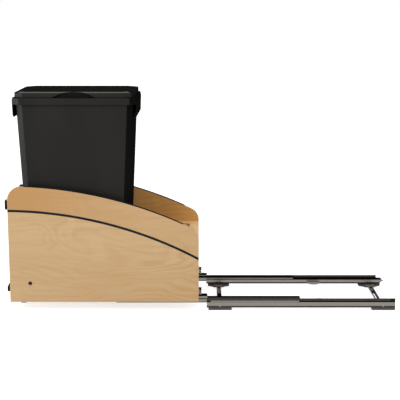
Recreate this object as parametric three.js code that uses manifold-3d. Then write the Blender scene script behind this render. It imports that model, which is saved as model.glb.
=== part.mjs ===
// Pull-out waste bin: a curved wooden box with a lidded bin, carried on full-extension
// undermount runners that two cross braces hold to a cabinet floor. It is drawn pulled out.
//
// Millimetres, +Z up. +X points from the box into the cabinet, so the box closes along +X.
// The origin is the middle of the front cross brace's underside, on the cabinet floor.
// Right is the -Y side, as seen by a person who stands in front of the cabinet.

import * as THREE from 'three';
import { mergeVertices } from 'three/addons/utils/BufferGeometryUtils.js';
import Module from 'manifold-3d';

const wasm = await Module();
wasm.setup();

// ---------------------------------------------------------------- driving dimensions

// clearances
const seat = 0.05;                 // thin line left where two pieces rest on each other
const runGap = 0.3;                // running clearance between pieces that move or are let in
const past = 1;                    // a cutting solid runs this far past the face it opens
const root = 1;                    // a joined solid starts this deep inside the one it grows from

// wooden box
const boxLength = 559;
const boxWidth = 298;
const boardThickness = 12.7;
const panelDrop = 14.5;            // side panels hang this far below the base board
const panelFrontHeight = 348;
const panelCornerRadius = 40;
const topArcRadius = 1248;
const topArcCentreX = -5;          // the top edge is level here and falls towards the back
const stripeFrontHeight = 276;     // centre of the stripe above the panel's lower edge
const stripeArcRadius = 1197;
const stripeArcCentreX = -12;
const stripeWidth = 6.4;
const stripeThickness = 1.2;
const bandThickness = 1;
const bandStart = 48;              // from the box's front edge
const bandRearSetIn = 45;          // from the box's rear edge
const frontBoardHeight = 120;
const shelfHeight = 186.5;         // shelf top above the panels' lower edge
const shelfRoom = 17.5;            // between the bin's rim and the shelf's front edge
const cutoutWidth = 202;
const cutoutRadius = 12;
const cutoutFrontWall = 26;        // wood left ahead of the cut-out
const cutoutRearWall = 29;         // wood left behind it

// runners: folded sheet, nested rails
const railSheet = 1.5;
const panelGap = 1.3;              // between a side panel and the rails beside it
const railWidth = 29;
const cabinetRailLength = 562.7;
const cabinetRailHeight = 27.4;
const cabinetWebRise = 11.4;       // web above the cabinet rail's lower edge
const cabinetLipHeight = 8.8;
const middleRailLength = 550;
const middleRailWidth = 17.6;
const middleRailHeight = 13.7;
const drawerRailStart = 45;        // from the box's front edge
const drawerRailProud = 26;        // the rail reaches this far behind the box
const keelWidth = 7.6;
const keelHeight = 15.5;
const skirtDepth = 5;
const endOverlap = 1.7;            // drawer rail and cabinet rail still overlap by this when out
const middleOverlap = 272.6;       // drawer rail over middle rail when out
const outerCageWeb = 1;
const innerCageWeb = 2.1;
const cageEndMargin = 6;
const rollerSpacing = 44;
const rollerHeight = 4.6;
const floorTabRadius = 20;
const floorTabReach = 27;
const floorTabPlace = 342.7;       // from the cabinet rail's front end
const floorTabSlotLength = 14;
const floorTabSlotWidth = 5;
const rearTabLength = 6;
const rearTabHeight = 4;
const stopLength = 10;
const stopWidth = 15;
const stopHeight = 8;
const stopProud = 1;

// cross braces
const padThickness = 5.2;
const padReach = 20;
const braceSheet = 3;
const frontFootLength = 70;
const rearFootLength = 72;
const rearFootChamfer = 4;
const railLead = 4.7;              // the rails reach this far ahead of the front feet
const footSetIn = 0.5;             // outer edge of a foot, inwards from the panel's inner face
const footShoulder = 7.5;          // full-width stretch of a foot before it narrows
const footReach = 37;
const neckWidth = 21;
const stemWidth = 14;
const stemSheet = 2;
const stemScrewRadius = 2.2;
const stemScrewPlace = 60;         // from the centre line
const stemSlotLength = 90;
const stemSlotWidth = 5;
const cheekThickness = 2;
const cheekLength = 44;
const rivetRadius = 2.4;
const rivetHeadRadius = 4;
const rivetHeadHeight = 0.9;

// front clips
const clipStart = 13;
const clipLength = 30;
const clipWidth = 24;
const clipPlateThickness = 4;
const clipHousingDepth = 6;
const clipHousingSetIn = 2;        // housing inside the plate's edges
const clipTongueLength = 9;
const clipTongueWidth = 6.5;
const clipTongueThickness = 3.2;
const leverPivotPlace = 7;         // pivot from the clip's front end
const leverPivotRadius = 3;
const leverRingWidth = 3.2;
const leverThickness = 3.6;
const leverLength = 23;            // pivot to tip
const leverArmWidth = 6;
const leverTabLength = 17;
const leverTabThickness = 2.4;
const leverTabBottom = 19.8;
const leverKeeperThickness = 1;
const leverKeeperLip = 1.2;        // the keeper's rim beyond the pivot

// rear hooks
const hookWidth = 16;
const hookSheet = 2;
const hookHeight = 23.5;
const hookFootLength = 16;
const pegRadius = 3.2;
const pegHeight = 18;              // peg axis above the drawer rail
const pegReachIn = 8;
const pegHoleGap = 0.8;
const pegCollarRadius = 5;
const pegCollarLength = 2.4;
const pegSpurLength = 4.5;
const pegSpurFlare = 2.5;
const pegSpurThickness = 2;

// door brackets
const bracketSheet = 2.5;
const bracketLead = 9.5;           // front leaf ahead of the box's front edge
const frontLeafWidth = 24;
const frontLeafSheet = 2;
const upperBracketHeight = 27;
const upperBracketBottom = 277.7;  // above the panel's lower edge
const upperLeafReach = 50;
const lowerBracketBottom = 30;
const lowerFrontLeafHeight = 15;
const lowerLeafHeight = 34.5;
const lowerLeafReach = 80;
const leafSlope = 11.5;            // the lower leaf rises over this length
const doorSlotWidth = 5;
const doorSlotHeight = 9;
const boltPlaceX = 60.2;
const boltPlaceHeight = 57;
const boltRadius = 3;
const boltHeadRadius = 5.2;
const boltHeadHeight = 4;
const counterboreRadius = 6;
const counterboreDepth = 7;
const nutRadius = 5.5;
const nutHeight = 3;
const screwPlaceX = 30;
const screwRadius = 1.8;
const screwHeadRadius = 4;
const screwHeadHeight = 2.2;
const screwDepth = 7;

// bin
const binFrontRoom = 17.5;         // rim behind the box's front edge
const binBottomLength = 288.5;
const binBottomWidth = 226;
const binTopLength = 342;
const binTopWidth = 248;
const binHeight = 576.7;
const binWall = 3;
const binCornerRadius = 18;
const binFootRound = 6;
const rimLength = 361;
const rimWidth = 266;
const rimHeight = 20;
const rimSheet = 3;
const rimCornerRadius = 24;
const gripWidth = 210;
const gripSheet = 3;
const gripProud = 2.05;            // grip's outer face beyond the rim
const gripTopSetDown = 7;
const gripHeight = 52;
const gripHook = 2;
const gripDraft = 1.5;             // the grip leans in by this at its foot

// lid
const lidLength = 349;
const lidWidth = 254;
const lidCornerRadius = 20;
const lidHeight = 17;
const lidSkirtHeight = 12.4;
const lidShell = 2.5;
const lidEdgeRound = 2.2;
const lidEdgeTuck = 1.8;           // the edge has drawn in by this at the top of its rounding
const lidDomeRise = 0.8;           // plateau above the shoulder
const lidShoulderSetIn = 9.5;      // along X, at the shoulder of the dome
const lidShoulderSetInSide = 16;   // along Y
const lidPlateauSetIn = 20;
const lidPlateauSetInSide = 35;
const lipClearance = 1;
const lipDepth = 8;
const thumbChord = 124;
const thumbDepth = 6;

// facets of the round shapes
const cornerSteps = 6;
const archSteps = 20;
const rodSides = 16;
const rollerSides = 8;

// ---------------------------------------------------------------- places worked out from them

const innerHalf = boxWidth / 2 - boardThickness;

// heights, from the cabinet floor up
const braceUnder = padThickness + seat;
const braceTop = braceUnder + braceSheet;
const cabinetRailBottom = braceTop + seat;
const cabinetRailTop = cabinetRailBottom + cabinetRailHeight;
const cabinetWebUnder = cabinetRailBottom + cabinetWebRise;
const cabinetWebTop = cabinetWebUnder + railSheet;
const cabinetLipTop = cabinetWebUnder + cabinetLipHeight;
const outerCageUnder = cabinetWebTop + runGap;
const outerCageTop = cabinetLipTop - runGap;
const middleRailUnder = outerCageUnder + outerCageWeb + runGap;
const middleRailTop = middleRailUnder + middleRailHeight;
const innerCageUnder = middleRailUnder + railSheet + runGap;
const innerCageTop = middleRailTop - railSheet;
const keelUnder = innerCageUnder + innerCageWeb + runGap;
const drawerPlateUnder = keelUnder + keelHeight;
const drawerRailTop = drawerPlateUnder + railSheet;
const baseUnder = drawerRailTop + seat;
const baseTop = baseUnder + boardThickness;
const panelUnder = baseUnder - panelDrop;
const panelApex = panelUnder + panelFrontHeight;
const shelfTop = panelUnder + shelfHeight;
const shelfUnder = shelfTop - boardThickness;

// widths, measured inwards from a side panel's inner face
const runnerLine = panelGap + railWidth / 2;
const railOuter = panelGap;
const railInner = panelGap + railWidth;
const cageGap = railWidth / 2 - railSheet - middleRailWidth / 2;
const keelGap = middleRailWidth / 2 - railSheet - keelWidth / 2;

// lengths, from the box's front edge
const drawerRailRear = boxLength + drawerRailProud;
const drawerRailLength = drawerRailRear - drawerRailStart;
const binPlace = binFrontRoom + rimLength / 2;
const shelfFront = binPlace + rimLength / 2 + shelfRoom;

// lengths, in the cabinet's frame
const railFront = -frontFootLength / 2 - railLead;
const railRear = railFront + cabinetRailLength;
const rearFootCentre = railRear - rearFootLength / 2;
const boxFront = railFront + endOverlap - drawerRailRear;
const middleRailFront = boxFront + drawerRailRear - middleOverlap;
const middleRailRear = middleRailFront + middleRailLength;

// ---------------------------------------------------------------- materials

const material = (color, roughness, metalness) =>
  new THREE.MeshStandardMaterial({ color, roughness, metalness, flatShading: true });

const wood = material(0xd0ad80, 0.55, 0);
const darkTrim = material(0x22282c, 0.45, 0);
const steel = material(0x9c9890, 0.35, 1);
const rivetSteel = material(0xa8a6a0, 0.3, 1);
const braceSteel = material(0x77757a, 0.45, 0.9);
const greyPlastic = material(0x6f6d70, 0.6, 0);
const cagePlastic = material(0x3c3c3e, 0.6, 0);
const rubber = material(0x1c1c1d, 0.85, 0);
const blackSteel = material(0x161616, 0.4, 0.6);
const screwSteel = material(0x57554f, 0.35, 1);
const binPlastic = material(0x2b2a29, 0.38, 0);
const lidPlastic = material(0x1d1c1b, 0.35, 0);

// ---------------------------------------------------------------- shapes and solids

const rotationTo = {
  x: new THREE.Matrix4().set(0, 0, 1, 0, 1, 0, 0, 0, 0, 1, 0, 0, 0, 0, 0, 1),
  y: new THREE.Matrix4().set(1, 0, 0, 0, 0, 0, -1, 0, 0, 1, 0, 0, 0, 0, 0, 1),
  z: new THREE.Matrix4(),
};

// Points of an arc round (a, b), from angle start to angle end.
function arc(a, b, radius, start, end, steps) {
  const points = [];
  for (let i = 0; i <= steps; i += 1) {
    const angle = start + ((end - start) * i) / steps;
    points.push(new THREE.Vector2(a + radius * Math.cos(angle), b + radius * Math.sin(angle)));
  }
  return points;
}

function outline(...parts) {
  const points = parts.flat().map((p) => (Array.isArray(p) ? new THREE.Vector2(...p) : p));
  return new THREE.Shape(points);
}

function polygon(pairs) {
  return new THREE.Shape(pairs.map(([a, b]) => new THREE.Vector2(a, b)));
}

function circle(a, b, radius, sides = rodSides) {
  const points = arc(a, b, radius, 0, Math.PI * 2, sides);
  points.pop();
  return new THREE.Shape(points);
}

function slot(a, b, length, width) {
  const reach = (length - width) / 2;
  const right = arc(a + reach, b, width / 2, -Math.PI / 2, Math.PI / 2, cornerSteps);
  const left = arc(a - reach, b, width / 2, Math.PI / 2, Math.PI * 1.5, cornerSteps);
  return new THREE.Shape([...right, ...left]);
}

function roundedRectanglePoints(length, width, radius) {
  const a = length / 2 - radius;
  const b = width / 2 - radius;
  const quarter = Math.PI / 2;
  return [
    ...arc(a, b, radius, 0, quarter, cornerSteps),
    ...arc(-a, b, radius, quarter, quarter * 2, cornerSteps),
    ...arc(-a, -b, radius, quarter * 2, quarter * 3, cornerSteps),
    ...arc(a, -b, radius, quarter * 3, quarter * 4, cornerSteps),
  ];
}

// A section swept straight along one axis. Sections along X are drawn in (y, z), along Y in
// (x, z) and along Z in (x, y).
function sweep(axis, shape, from, to) {
  const geometry = new THREE.ExtrudeGeometry(shape, { depth: to - from, bevelEnabled: false });
  geometry.applyMatrix4(rotationTo[axis]);
  const start = { x: [from, 0, 0], y: [0, to, 0], z: [0, 0, from] };
  return geometry.translate(...start[axis]);
}

function rod(axis, a, b, radius, from, to, sides = rodSides) {
  return sweep(axis, circle(a, b, radius, sides), from, to);
}

function block(x0, x1, y0, y1, z0, z1) {
  const geometry = new THREE.BoxGeometry(x1 - x0, y1 - y0, z1 - z0);
  return geometry.translate((x0 + x1) / 2, (y0 + y1) / 2, (z0 + z1) / 2);
}

// A closed skin through rounded rectangles at rising heights.
function loft(sections) {
  const rings = sections.map((s) => roundedRectanglePoints(s.length, s.width, s.radius));
  const count = rings[0].length;
  const positions = [];
  rings.forEach((ring, level) => {
    ring.forEach((p) => positions.push(p.x, p.y, sections[level].z));
  });
  const top = rings.length - 1;
  positions.push(0, 0, sections[0].z, 0, 0, sections[top].z);
  const lowerCentre = rings.length * count;
  const upperCentre = lowerCentre + 1;
  const index = [];
  for (let i = 0; i < count; i += 1) {
    const next = (i + 1) % count;
    for (let level = 0; level < top; level += 1) {
      const low = level * count;
      const high = low + count;
      index.push(low + i, low + next, high + next);
      index.push(low + i, high + next, high + i);
    }
    index.push(lowerCentre, next, i);
    index.push(upperCentre, top * count + i, top * count + next);
  }
  const geometry = new THREE.BufferGeometry();
  geometry.setAttribute('position', new THREE.Float32BufferAttribute(positions, 3));
  geometry.setIndex(index);
  return geometry;
}

function toSolid(geometry) {
  const bare = new THREE.BufferGeometry();
  bare.setAttribute('position', geometry.getAttribute('position').clone());
  bare.setIndex(geometry.getIndex());
  const merged = mergeVertices(bare);
  const vertProperties = new Float32Array(merged.getAttribute('position').array);
  const triVerts = new Uint32Array(merged.getIndex().array);
  return new wasm.Manifold(new wasm.Mesh({ numProp: 3, vertProperties, triVerts }));
}

function toGeometry(solid) {
  const mesh = solid.getMesh();
  const geometry = new THREE.BufferGeometry();
  geometry.setAttribute('position', new THREE.Float32BufferAttribute(mesh.vertProperties, 3));
  geometry.setIndex(Array.from(mesh.triVerts));
  return geometry;
}

function join(...geometries) {
  const [first, ...rest] = geometries.map(toSolid);
  return toGeometry(rest.reduce((whole, piece) => whole.add(piece), first));
}

function cut(geometry, ...tools) {
  return toGeometry(tools.map(toSolid).reduce((whole, tool) => whole.subtract(tool), toSolid(geometry)));
}

// The same piece for the other hand: Y changes sign and each triangle turns round.
function mirrored(geometry) {
  const copy = new THREE.BufferGeometry();
  const source = geometry.getIndex() ? geometry.toNonIndexed() : geometry;
  const from = source.getAttribute('position');
  const positions = new Float32Array(from.count * 3);
  for (let i = 0; i < from.count; i += 3) {
    [i, i + 2, i + 1].forEach((vertex, place) => {
      positions.set([from.getX(vertex), -from.getY(vertex), from.getZ(vertex)], (i + place) * 3);
    });
  }
  copy.setAttribute('position', new THREE.BufferAttribute(positions, 3));
  return copy;
}

function place(group, name, geometry, look, x = 0, y = 0, z = 0) {
  const faces = geometry.getIndex() ? geometry.toNonIndexed() : geometry;
  faces.computeVertexNormals();
  const mesh = new THREE.Mesh(faces, look);
  mesh.name = name;
  mesh.position.set(x, y, z);
  group.add(mesh);
}

// Pieces that come in pairs are drawn for the right side, with y measured inwards from the
// right panel's inner face.
function placePair(group, name, geometry, look, x = 0, z = 0) {
  place(group, `${name}_right`, geometry, look, x, -innerHalf, z);
  place(group, `${name}_left`, mirrored(geometry), look, x, innerHalf, z);
}

// ---------------------------------------------------------------- cabinet side

function cabinetRail() {
  const section = polygon([
    [railOuter, cabinetRailBottom],
    [railOuter + railSheet, cabinetRailBottom],
    [railOuter + railSheet, cabinetWebUnder],
    [railInner, cabinetWebUnder],
    [railInner, cabinetLipTop],
    [railInner - railSheet, cabinetLipTop],
    [railInner - railSheet, cabinetWebTop],
    [railOuter + railSheet, cabinetWebTop],
    [railOuter + railSheet, cabinetRailTop],
    [railOuter, cabinetRailTop],
  ]);
  const tabCentre = floorTabReach - floorTabRadius;
  const tab = outline(
    [[-floorTabRadius, -railSheet], [floorTabRadius, -railSheet]],
    arc(0, tabCentre, floorTabRadius, 0, Math.PI, cornerSteps * 2),
  );
  tab.holes.push(slot(0, tabCentre, floorTabSlotLength, floorTabSlotWidth));
  const floorTab = sweep('z', tab, cabinetWebUnder, cabinetWebTop);
  floorTab.translate(floorTabPlace, railInner, 0);
  const rearTab = block(
    cabinetRailLength - root, cabinetRailLength + rearTabLength,
    railInner - railSheet, railInner,
    cabinetLipTop - rearTabHeight, cabinetLipTop,
  );
  const rail = join(sweep('x', section, 0, cabinetRailLength), floorTab, rearTab);
  const rivetHoles = [-railFront, rearFootCentre - railFront].map((x) =>
    rod('y', x, rivetLine, rivetRadius + runGap, 0, railOuter + railSheet + past));
  return cut(rail, ...rivetHoles);
}

const rivetLine = (cabinetRailBottom + cabinetWebUnder) / 2;
const cheekInner = railOuter + railSheet + seat + cheekThickness;

// Half of a brace's outline: full width at the foot, narrowing towards the stem.
function footOutline(length, reach) {
  const shoulder = footSetIn + footShoulder;
  const slope = (length - neckWidth) / 2 / (footReach - shoulder);
  const half = length / 2;
  const end = half - slope * (reach - shoulder);
  return polygon([
    [-half, footSetIn], [half, footSetIn], [half, shoulder],
    [end, reach], [-end, reach], [-half, shoulder],
  ]);
}

function braceEnd(length) {
  const plate = sweep('z', footOutline(length, footReach), braceUnder, braceTop);
  const cheek = block(
    -cheekLength / 2, cheekLength / 2,
    cheekInner - cheekThickness, cheekInner,
    braceTop - root, cabinetWebUnder - runGap,
  );
  const hole = rod('y', 0, rivetLine, rivetRadius + runGap, 0, cheekInner + past);
  return cut(join(plate, cheek), hole);
}

function brace(length, slotted) {
  const half = stemWidth / 2;
  const stemReach = innerHalf - footReach + stemSheet;
  const section = polygon([
    [-half, 0], [half, 0], [half, braceTop], [half - stemSheet, braceTop],
    [half - stemSheet, stemSheet], [stemSheet - half, stemSheet],
    [stemSheet - half, braceTop], [-half, braceTop],
  ]);
  const stem = sweep('y', section, -stemReach, stemReach);
  const end = braceEnd(length).translate(0, -innerHalf, 0);
  const whole = join(stem, end, mirrored(end));
  const holes = [-stemScrewPlace, stemScrewPlace].map((y) =>
    rod('z', 0, y, stemScrewRadius, -past, stemSheet + past));
  if (slotted) {
    const window = sweep('z', slot(0, 0, stemSlotLength, stemSlotWidth), -past, stemSheet + past);
    holes.push(window.rotateZ(Math.PI / 2));
  }
  return cut(whole, ...holes);
}

function footPad(length, chamfer) {
  const pad = sweep('z', footOutline(length, padReach), 0, padThickness);
  if (chamfer === 0) return pad;
  const front = -length / 2 - past;
  const wedge = polygon([[front, -past], [front + chamfer + 2 * past, -past], [front, chamfer + past]]);
  return cut(pad, sweep('y', wedge, 0, padReach + past));
}

function rivet() {
  return join(
    rod('y', 0, 0, rivetHeadRadius, railOuter - seat - rivetHeadHeight, railOuter - seat),
    rod('y', 0, 0, rivetRadius, railOuter - seat - rivetHeadHeight, cheekInner + rivetHeadHeight),
    rod('y', 0, 0, rivetHeadRadius, cheekInner + seat, cheekInner + seat + rivetHeadHeight),
  );
}

function rearStop() {
  const under = cabinetWebTop + seat;
  return block(
    stopProud - stopLength, stopProud,
    runnerLine - stopWidth / 2, runnerLine + stopWidth / 2,
    under, under + stopHeight,
  );
}

function buildCabinetSide() {
  const group = new THREE.Group();
  placePair(group, 'cabinet_rail', cabinetRail(), steel, railFront);
  place(group, 'front_brace', brace(frontFootLength, false), braceSteel);
  place(group, 'rear_brace', brace(rearFootLength, true), braceSteel, rearFootCentre);
  placePair(group, 'front_foot_pad', footPad(frontFootLength, 0), greyPlastic);
  placePair(group, 'rear_foot_pad', footPad(rearFootLength, rearFootChamfer), greyPlastic, rearFootCentre);
  placePair(group, 'front_rivet', rivet(), rivetSteel, 0, rivetLine);
  placePair(group, 'rear_rivet', rivet(), rivetSteel, rearFootCentre, rivetLine);
  placePair(group, 'rear_stop', rearStop(), rubber, railRear);
  return group;
}

// ---------------------------------------------------------------- middle rails and cages

function middleRail() {
  const outer = runnerLine - middleRailWidth / 2;
  const inner = runnerLine + middleRailWidth / 2;
  const section = polygon([
    [outer, middleRailUnder], [inner, middleRailUnder],
    [inner, middleRailTop], [inner - railSheet, middleRailTop],
    [inner - railSheet, middleRailUnder + railSheet],
    [outer + railSheet, middleRailUnder + railSheet],
    [outer + railSheet, middleRailTop], [outer, middleRailTop],
  ]);
  return sweep('x', section, 0, middleRailLength);
}

// A cage is a thin channel whose two walls carry rollers. wallLine is how far the walls'
// middles stand from the runner's centre line.
function cage({ length, under, web, top, wallLine, gap, rollerBase }) {
  const rollerRadius = gap / 2 - runGap;
  const half = rollerRadius / 2;
  const low = runnerLine - wallLine;
  const high = runnerLine + wallLine;
  const section = polygon([
    [low - half, under], [high + half, under], [high + half, top], [high - half, top],
    [high - half, under + web], [low + half, under + web], [low + half, top], [low - half, top],
  ]);
  const pieces = [sweep('x', section, 0, length)];
  const count = Math.floor((length - rollerSpacing / 2) / rollerSpacing);
  const first = (length - (count - 1) * rollerSpacing) / 2;
  for (let i = 0; i < count; i += 1) {
    const x = first + i * rollerSpacing;
    pieces.push(rod('z', x, low, rollerRadius, rollerBase, rollerBase + rollerHeight, rollerSides));
    pieces.push(rod('z', x, high, rollerRadius, rollerBase, rollerBase + rollerHeight, rollerSides));
  }
  return join(...pieces);
}

const outerCageStart = railFront + cageEndMargin;
const outerCageEnd = middleRailRear - cageEndMargin;
const innerCageStart = middleRailFront + cageEndMargin;
const innerCageEnd = boxFront + drawerRailRear - cageEndMargin;

function outerCage() {
  return cage({
    length: outerCageEnd - outerCageStart,
    under: outerCageUnder,
    web: outerCageWeb,
    top: outerCageTop,
    wallLine: (middleRailWidth + cageGap) / 2,
    gap: cageGap,
    rollerBase: outerCageUnder + outerCageWeb + runGap,
  });
}

function innerCage() {
  return cage({
    length: innerCageEnd - innerCageStart,
    under: innerCageUnder,
    web: innerCageWeb,
    top: innerCageTop,
    wallLine: (keelWidth + keelGap) / 2,
    gap: keelGap,
    rollerBase: keelUnder + runGap,
  });
}

function buildMiddleRails() {
  const group = new THREE.Group();
  placePair(group, 'middle_rail', middleRail(), steel, middleRailFront);
  placePair(group, 'outer_cage', outerCage(), cagePlastic, outerCageStart);
  placePair(group, 'inner_cage', innerCage(), cagePlastic, innerCageStart);
  return group;
}

// ---------------------------------------------------------------- box: rails, hooks and clips

function drawerRail() {
  const keelOuter = runnerLine - keelWidth / 2;
  const keelInner = runnerLine + keelWidth / 2;
  const section = polygon([
    [railOuter, drawerPlateUnder - skirtDepth],
    [railOuter + railSheet, drawerPlateUnder - skirtDepth],
    [railOuter + railSheet, drawerPlateUnder],
    [keelOuter, drawerPlateUnder], [keelOuter, keelUnder],
    [keelInner, keelUnder], [keelInner, drawerPlateUnder],
    [railInner, drawerPlateUnder], [railInner, drawerRailTop],
    [railOuter, drawerRailTop],
  ]);
  section.holes.push(polygon([
    [keelOuter + railSheet, keelUnder + railSheet],
    [keelInner - railSheet, keelUnder + railSheet],
    [keelInner - railSheet, drawerPlateUnder],
    [keelOuter + railSheet, drawerPlateUnder],
  ]));
  return sweep('x', section, 0, drawerRailLength);
}

const hookFront = boxLength + runGap;
const pegAxis = drawerRailTop + pegHeight;

function rearHook() {
  const bottom = drawerRailTop + seat;
  const profile = polygon([
    [hookFront, bottom], [hookFront + hookFootLength, bottom],
    [hookFront + hookFootLength, bottom + hookSheet], [hookFront + hookSheet, bottom + hookSheet],
    [hookFront + hookSheet, bottom + hookHeight], [hookFront, bottom + hookHeight],
  ]);
  const bracket = sweep('y', profile, runnerLine - hookWidth / 2, runnerLine + hookWidth / 2);
  const hole = rod('x', runnerLine, pegAxis, pegRadius + runGap,
    hookFront - past, hookFront + hookSheet + past);
  return cut(bracket, hole);
}

function hookPeg() {
  const collarStart = hookFront + hookSheet + runGap;
  const collarEnd = collarStart + pegCollarLength;
  const collar = rod('x', 0, 0, pegCollarRadius, collarStart, collarEnd);
  const pin = rod('x', 0, 0, pegRadius, boxLength - pegReachIn, collarEnd);
  const spurTip = pegRadius + pegSpurFlare;
  const spur = polygon([
    [collarEnd - root, pegRadius - pegSpurThickness],
    [collarEnd + pegSpurLength, spurTip - pegSpurThickness],
    [collarEnd + pegSpurLength, spurTip], [collarEnd - root, pegRadius],
  ]);
  const upper = sweep('y', spur, -pegRadius / 2, pegRadius / 2);
  const lower = upper.clone().rotateX(Math.PI);
  return join(pin, collar, upper, lower).translate(0, runnerLine, pegAxis);
}

const clipRear = clipStart + clipLength;
const leverPivotX = clipStart + leverPivotPlace;
const housingUnder = drawerRailTop - clipPlateThickness - clipHousingDepth;
const leverTop = housingUnder - runGap;
const leverUnder = leverTop - leverThickness;

function clipBody() {
  const outer = runnerLine - clipWidth / 2;
  const inner = runnerLine + clipWidth / 2;
  const plateUnder = drawerRailTop - clipPlateThickness;
  const tongueTop = drawerPlateUnder - runGap;
  const keeperTop = leverUnder - runGap;
  const keeperUnder = keeperTop - leverKeeperThickness;
  const keelOuter = runnerLine - keelWidth / 2;
  const tongueOuter = (railOuter + railSheet + keelOuter - clipTongueWidth) / 2;
  return join(
    block(clipStart, clipRear, outer, inner, plateUnder, drawerRailTop),
    block(clipStart, clipRear - clipHousingSetIn, outer + clipHousingSetIn, inner - clipHousingSetIn,
      housingUnder, plateUnder + root),
    block(clipRear - root, clipRear + clipTongueLength, tongueOuter, tongueOuter + clipTongueWidth,
      tongueTop - clipTongueThickness, tongueTop),
    rod('z', leverPivotX, runnerLine, leverPivotRadius, keeperUnder, housingUnder + root),
    rod('z', leverPivotX, runnerLine, leverPivotRadius + leverKeeperLip, keeperUnder, keeperTop),
  );
}

function clipLever() {
  const ringRadius = leverPivotRadius + runGap + leverRingWidth;
  const tip = leverPivotX + leverLength;
  const armOuter = runnerLine - leverArmWidth / 2;
  const lever = join(
    rod('z', leverPivotX, runnerLine, ringRadius, leverUnder, leverTop),
    block(leverPivotX, tip, armOuter, armOuter + leverArmWidth, leverUnder, leverTop),
    block(tip - leverTabLength, tip, armOuter, armOuter + leverTabThickness, leverTabBottom, leverTop),
  );
  const bore = rod('z', leverPivotX, runnerLine, leverPivotRadius + runGap, leverUnder - past, leverTop + past);
  return cut(lever, bore);
}

// ---------------------------------------------------------------- box: boards

// Height of an arc that is highest at centreX, at the place x.
function arcHeight(x, centreX, radius, apex) {
  return apex - radius + Math.sqrt(radius ** 2 - (x - centreX) ** 2);
}

// A strip that follows an arc between two places, low and high measured across the arc.
function arcStrip(x0, x1, centreX, radius, apex, low, high) {
  const edge = (offset, from, to) => {
    const points = [];
    for (let i = 0; i <= archSteps; i += 1) {
      const x = from + ((to - from) * i) / archSteps;
      points.push([x, arcHeight(x, centreX, radius + offset, apex + offset)]);
    }
    return points;
  };
  return outline(edge(low, x0, x1), edge(high, x1, x0));
}

function panelOutline() {
  const arcCentreZ = panelApex - topArcRadius;
  const filletReach = topArcRadius - panelCornerRadius;
  const frontX = panelCornerRadius;
  const rearX = boxLength - panelCornerRadius;
  const frontAngle = Math.acos((frontX - topArcCentreX) / filletReach);
  const rearAngle = Math.acos((rearX - topArcCentreX) / filletReach);
  const frontZ = arcCentreZ + filletReach * Math.sin(frontAngle);
  const rearZ = arcCentreZ + filletReach * Math.sin(rearAngle);
  return outline(
    [[0, panelUnder], [boxLength, panelUnder]],
    arc(rearX, rearZ, panelCornerRadius, 0, rearAngle, cornerSteps),
    arc(topArcCentreX, arcCentreZ, topArcRadius, rearAngle, frontAngle, archSteps),
    arc(frontX, frontZ, panelCornerRadius, frontAngle, Math.PI, cornerSteps),
  );
}

const stripeApex = panelUnder + stripeFrontHeight;
const boltAxis = panelUnder + boltPlaceHeight;
const upperLeafBottom = panelUnder + upperBracketBottom;
const lowerLeafBottom = panelUnder + lowerBracketBottom;
const screwAxis = upperLeafBottom + upperBracketHeight / 2;
const leafOuter = -seat - bracketSheet;

// Side leaves of the door brackets, grown by the clearance for the pockets that hold them.
function upperLeafOutline(grow) {
  const radius = upperBracketHeight / 2 + grow;
  return outline(
    [[-bracketLead - grow, screwAxis + radius], [-bracketLead - grow, screwAxis - radius]],
    arc(upperLeafReach - upperBracketHeight / 2, screwAxis, radius, -Math.PI / 2, Math.PI / 2, cornerSteps),
  );
}

function lowerLeafOutline(grow) {
  const bottom = lowerLeafBottom - grow;
  const top = lowerLeafBottom + lowerLeafHeight + grow;
  const front = -bracketLead - grow;
  return polygon([
    [front, bottom], [lowerLeafReach + grow, bottom], [lowerLeafReach + grow, top],
    [leafSlope - bracketLead - grow, top], [front, bottom + lowerFrontLeafHeight + grow],
  ]);
}

function sidePanel() {
  const outer = -boardThickness;
  const pocketFloor = leafOuter - runGap;
  const grooveFloor = outer + stripeThickness + runGap;
  const halfGroove = stripeWidth / 2 + runGap;
  const groove = arcStrip(-past, boxLength + past, stripeArcCentreX, stripeArcRadius, stripeApex,
    -halfGroove, halfGroove);
  return cut(
    sweep('y', panelOutline(), outer, 0),
    sweep('y', groove, outer - past, grooveFloor),
    sweep('y', upperLeafOutline(runGap), pocketFloor, past),
    sweep('y', lowerLeafOutline(runGap), pocketFloor, past),
    rod('y', boltPlaceX, boltAxis, counterboreRadius, outer - past, outer + counterboreDepth),
    rod('y', boltPlaceX, boltAxis, boltRadius + runGap, outer, 0),
    rod('y', screwPlaceX, screwAxis, screwRadius + runGap, -screwDepth - runGap, 0),
  );
}

function topBand() {
  const low = runGap;
  const strip = arcStrip(bandStart, boxLength - bandRearSetIn, topArcCentreX, topArcRadius, panelApex,
    low, low + bandThickness);
  return sweep('y', strip, -boardThickness, 0);
}

function accentStripe() {
  const half = stripeWidth / 2;
  const strip = arcStrip(0, boxLength, stripeArcCentreX, stripeArcRadius, stripeApex, -half, half);
  return sweep('y', strip, -boardThickness, stripeThickness - boardThickness);
}

const boardHalf = innerHalf - seat;

function baseBoard() {
  const end = boardThickness + seat;
  return block(end, boxLength - end, -boardHalf, boardHalf, baseUnder, baseTop);
}

function frontBoard() {
  return block(0, boardThickness, -boardHalf, boardHalf, panelUnder, panelUnder + frontBoardHeight);
}

function rearBoard() {
  const front = boxLength - boardThickness;
  const board = block(front, boxLength, -boardHalf, boardHalf, baseUnder, shelfUnder - seat);
  const pegY = innerHalf - runnerLine;
  const holes = [-pegY, pegY].map((y) =>
    rod('x', y, pegAxis, pegRadius + pegHoleGap, front - past, boxLength + past));
  return cut(board, ...holes);
}

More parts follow.
